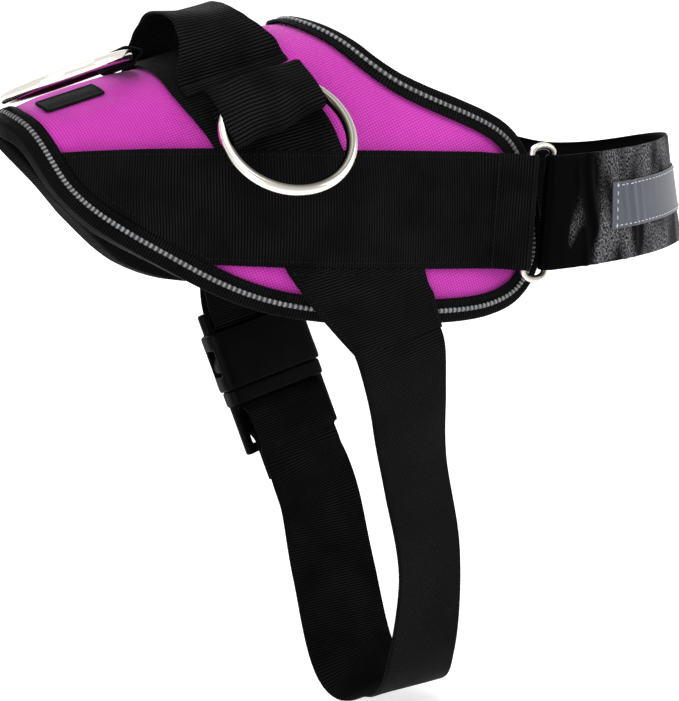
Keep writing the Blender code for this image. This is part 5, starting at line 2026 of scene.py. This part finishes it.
    def build_short_strap(self) -> None:
        """The short strap: a loop from the left anchor round the socket's bar, in two pieces.

        The piece round the bar goes with the socket, and the rest stays on the harness; the real
        strap crumples as the socket is pulled up off the plug.
        """
        high = self.over_edge + self.thick + self.gap / 2
        top = self.form.skin(self.girth_x, self.ends[Side.LEFT] + 0.1 * MM, high)
        curve = through(np.array(self.short_route(top)), 10, closed=True)
        path = self.in_buckle(curve)
        ways = np.tile([1.0, 0, 0], (len(path), 1))
        places = strand_places(self.width, 33)
        turn = np.linspace(0, 2 * pi, len(path), endpoint=False)[:, None]
        folds = 0.5 * MM * np.sin(9 * turn + places * 60) * np.cos(places * 50)
        low = curve[:, 1] < self.socket_length + 1.5 * MM
        order = np.roll(np.arange(len(curve)), int(np.argmax(~low[::-1])))
        rows = order[: low.sum()]
        loop_end = strap_body("short_strap_loop", path[rows], ways[rows], places, self.thick, folds[rows])
        dress(loop_end, self.finishes.girth, body="socket")
        rows = np.r_[order[low.sum() - 1 :], order[0]]
        strap = strap_body("short_strap_webbing", path[rows], ways[rows], places, self.thick, folds[rows])
        dress(strap, self.finishes.girth, "girth_short_strap")
        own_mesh(strap)

    def build_buckle(self) -> None:
        """The moulded parts: the CAD solids remeshed finely and smoothed, which rounds their edges."""
        for node, body in (
            ("buckle_male", "harness"), ("buckle_female", "socket"),
            ("prong_rear", "catch_rear"), ("prong_front", "catch_front"),
        ):
            mesh = bpy.data.objects[node].data.copy()
            mesh.name = f"{node}_moulding"
            work = bmesh.new()
            work.from_mesh(mesh)
            bmesh.ops.remove_doubles(work, verts=work.verts, dist=1e-5)
            work.to_mesh(mesh)
            work.free()
            piece = finish_object(f"{node}_moulding", mesh, 180)
            fine = piece.modifiers.new("fine_mesh", "REMESH")
            fine.mode = "VOXEL"
            fine.voxel_size = self.voxel
            fine.use_smooth_shade = True
            # makes up for what the smoothing takes off
            fuller = piece.modifiers.new("fuller_walls", "DISPLACE")
            fuller.strength = self.fuller
            fuller.mid_level = 0.0
            rounded = piece.modifiers.new("rounded_edges", "SMOOTH")
            rounded.factor = 0.5
            rounded.iterations = self.rounding
            dress(piece, self.finishes.acetal, node, body=body, slot="black_acetal")


# Studio


@dataclass
class Studio:
    """The plain stage: a white floor and backdrop, soft lamps and the photograph's camera."""

    azimuth: float = radians(-28)
    elevation: float = radians(18)
    roll: float = radians(12)
    target: tuple = (-0.0009, -0.0485, -0.1268)
    distance: float = 1.3
    lens: float = 155.8
    sensor: float = 36
    floor: float = -0.318
    floor_half: float = 6.0
    lit: tuple = (0, 0, -0.12)

    def build(self) -> None:
        """Makes the camera, the lamps, the world and the floor."""
        self.build_camera()
        self.build_lamps()
        self.build_world()
        self.build_floor()
        bpy.context.scene.view_settings.view_transform = "Standard"

    def build_camera(self) -> None:
        """The camera: looking at the target from its azimuth and elevation, rolled about its axis."""
        away = Vector((
            sin(self.azimuth) * cos(self.elevation),
            -cos(self.azimuth) * cos(self.elevation),
            sin(self.elevation),
        ))
        right = Vector((0, 0, 1)).cross(away).normalized()
        up = away.cross(right)
        turned = right * cos(self.roll) - up * sin(self.roll)
        top = up * cos(self.roll) + right * sin(self.roll)
        data = bpy.data.cameras.new("photo_camera")
        data.lens = self.lens
        data.sensor_width = self.sensor
        data.sensor_fit = "AUTO"
        camera = bpy.data.objects.new("photo_camera", data)
        place = Vector(self.target) + away * self.distance
        camera.matrix_world = Matrix.Translation(place) @ Matrix((turned, top, away)).transposed().to_4x4()
        bpy.context.scene.collection.objects.link(camera)
        bpy.context.scene.camera = camera

    def build_lamps(self) -> None:
        """A broad lamp above, and weaker ones to the camera's left and right and beyond the harness."""
        for name, place, size, power in (
            ("lamp_above", (-0.1, -0.3, 1.2), 1.2, 10.0),
            ("lamp_left", (-1.1, -0.9, 0.5), 0.9, 9.0),
            ("lamp_right", (1.0, -0.9, 0.3), 0.9, 7.0),
            ("lamp_far", (0.2, 1.2, 0.4), 0.9, 6.0),
        ):
            data = bpy.data.lights.new(name, "AREA")
            data.size = size
            data.energy = power
            lamp = bpy.data.objects.new(name, data)
            away = Vector(place) - Vector(self.lit)
            turn = away.to_track_quat("Z", "Y").to_matrix().to_4x4()
            lamp.matrix_world = Matrix.Translation(Vector(place)) @ turn
            bpy.context.scene.collection.objects.link(lamp)

    def build_world(self) -> None:
        """White for camera, mirror and glass rays, and a dimmer even light for the rest."""
        world = bpy.data.worlds.new("white_room")
        bpy.context.scene.world = world
        world.use_nodes = True
        world.node_tree.nodes.clear()
        add = partial(add_node, world.node_tree)
        strength = add("MapRange", {0: shown_rays(add), 3: 0.5, 4: 1.0})
        light = add("Background", {"Color": (1, 1, 1, 1), "Strength": strength})
        add("OutputWorld", {0: light})

    def build_floor(self) -> None:
        """A square of white paper under the harness."""
        mesh = bpy.data.meshes.new("studio_floor")
        half = self.floor_half
        corners = [(-half, -half), (half, -half), (half, half), (-half, half)]
        mesh.from_pydata([(x, y, self.floor) for x, y in corners], [], [(0, 1, 2, 3)])
        floor = bpy.data.objects.new("studio_floor", mesh)
        bpy.context.scene.collection.objects.link(floor)
        mesh.materials.append(StudioPaper().material())


def ring_sets(form: SaddleForm, finishes: Finishes) -> list[SleevedRing]:
    """The two handle rings and the leash ring, each with its hinge line.

    Args:
        form: the saddle's form, which the handle rings' hinges lie on.
        finishes: the harness's finishes.

    Returns:
        The rings in their sleeves.
    """
    sets = []
    slope = radians(48)
    # over the ridge gap and two straps, by half of the wire and its room
    height = (0.6 + 2 * 1.5 + 2.5 + 1.8) * MM
    for side in Side:
        hinge = form.skin(-8 * MM, side.value * 36 * MM, height)
        out = np.array([0, side.value * cos(slope), -sin(slope)])
        sets.append(SleevedRing(
            finishes, f"o_ring_{side.suffix}", f"ring_loop_{side.suffix}", f"ring_{side.suffix}",
            hinge, out, np.array([1.0, 0, 0]), 46 * MM, finishes.webbing, wave=1.8 * MM, droop=6.0 * MM,
            flare=2.5 * MM,
        ))
    roll = radians(16)
    hinge = np.array([-42.5 * MM, 0, form.sandwich + 6.4 * MM])
    sets.append(SleevedRing(
        finishes, "leash_ring", "leash_keeper", "leash", hinge, np.array([-1.0, 0, 0]),
        np.array([0, cos(roll), -sin(roll)]), 25 * MM, finishes.band, wave=0.5 * MM,
    ))
    return sets


def main() -> None:
    """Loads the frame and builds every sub-assembly."""
    logging.basicConfig(level=logging.INFO, format="%(message)s")
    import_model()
    Studio().build()
    finishes = Finishes()
    form = SaddleForm()
    Saddle(form, finishes).build()
    bands = {side: SideBand(form, finishes, side) for side in Side}
    for band in bands.values():
        band.build()
    ChestStrap(bands, finishes).build()
    Handle(form, finishes).build()
    for ring in ring_sets(form, finishes):
        ring.build()
    Girth(form, finishes).build()


if __name__ == "__main__":
    main()
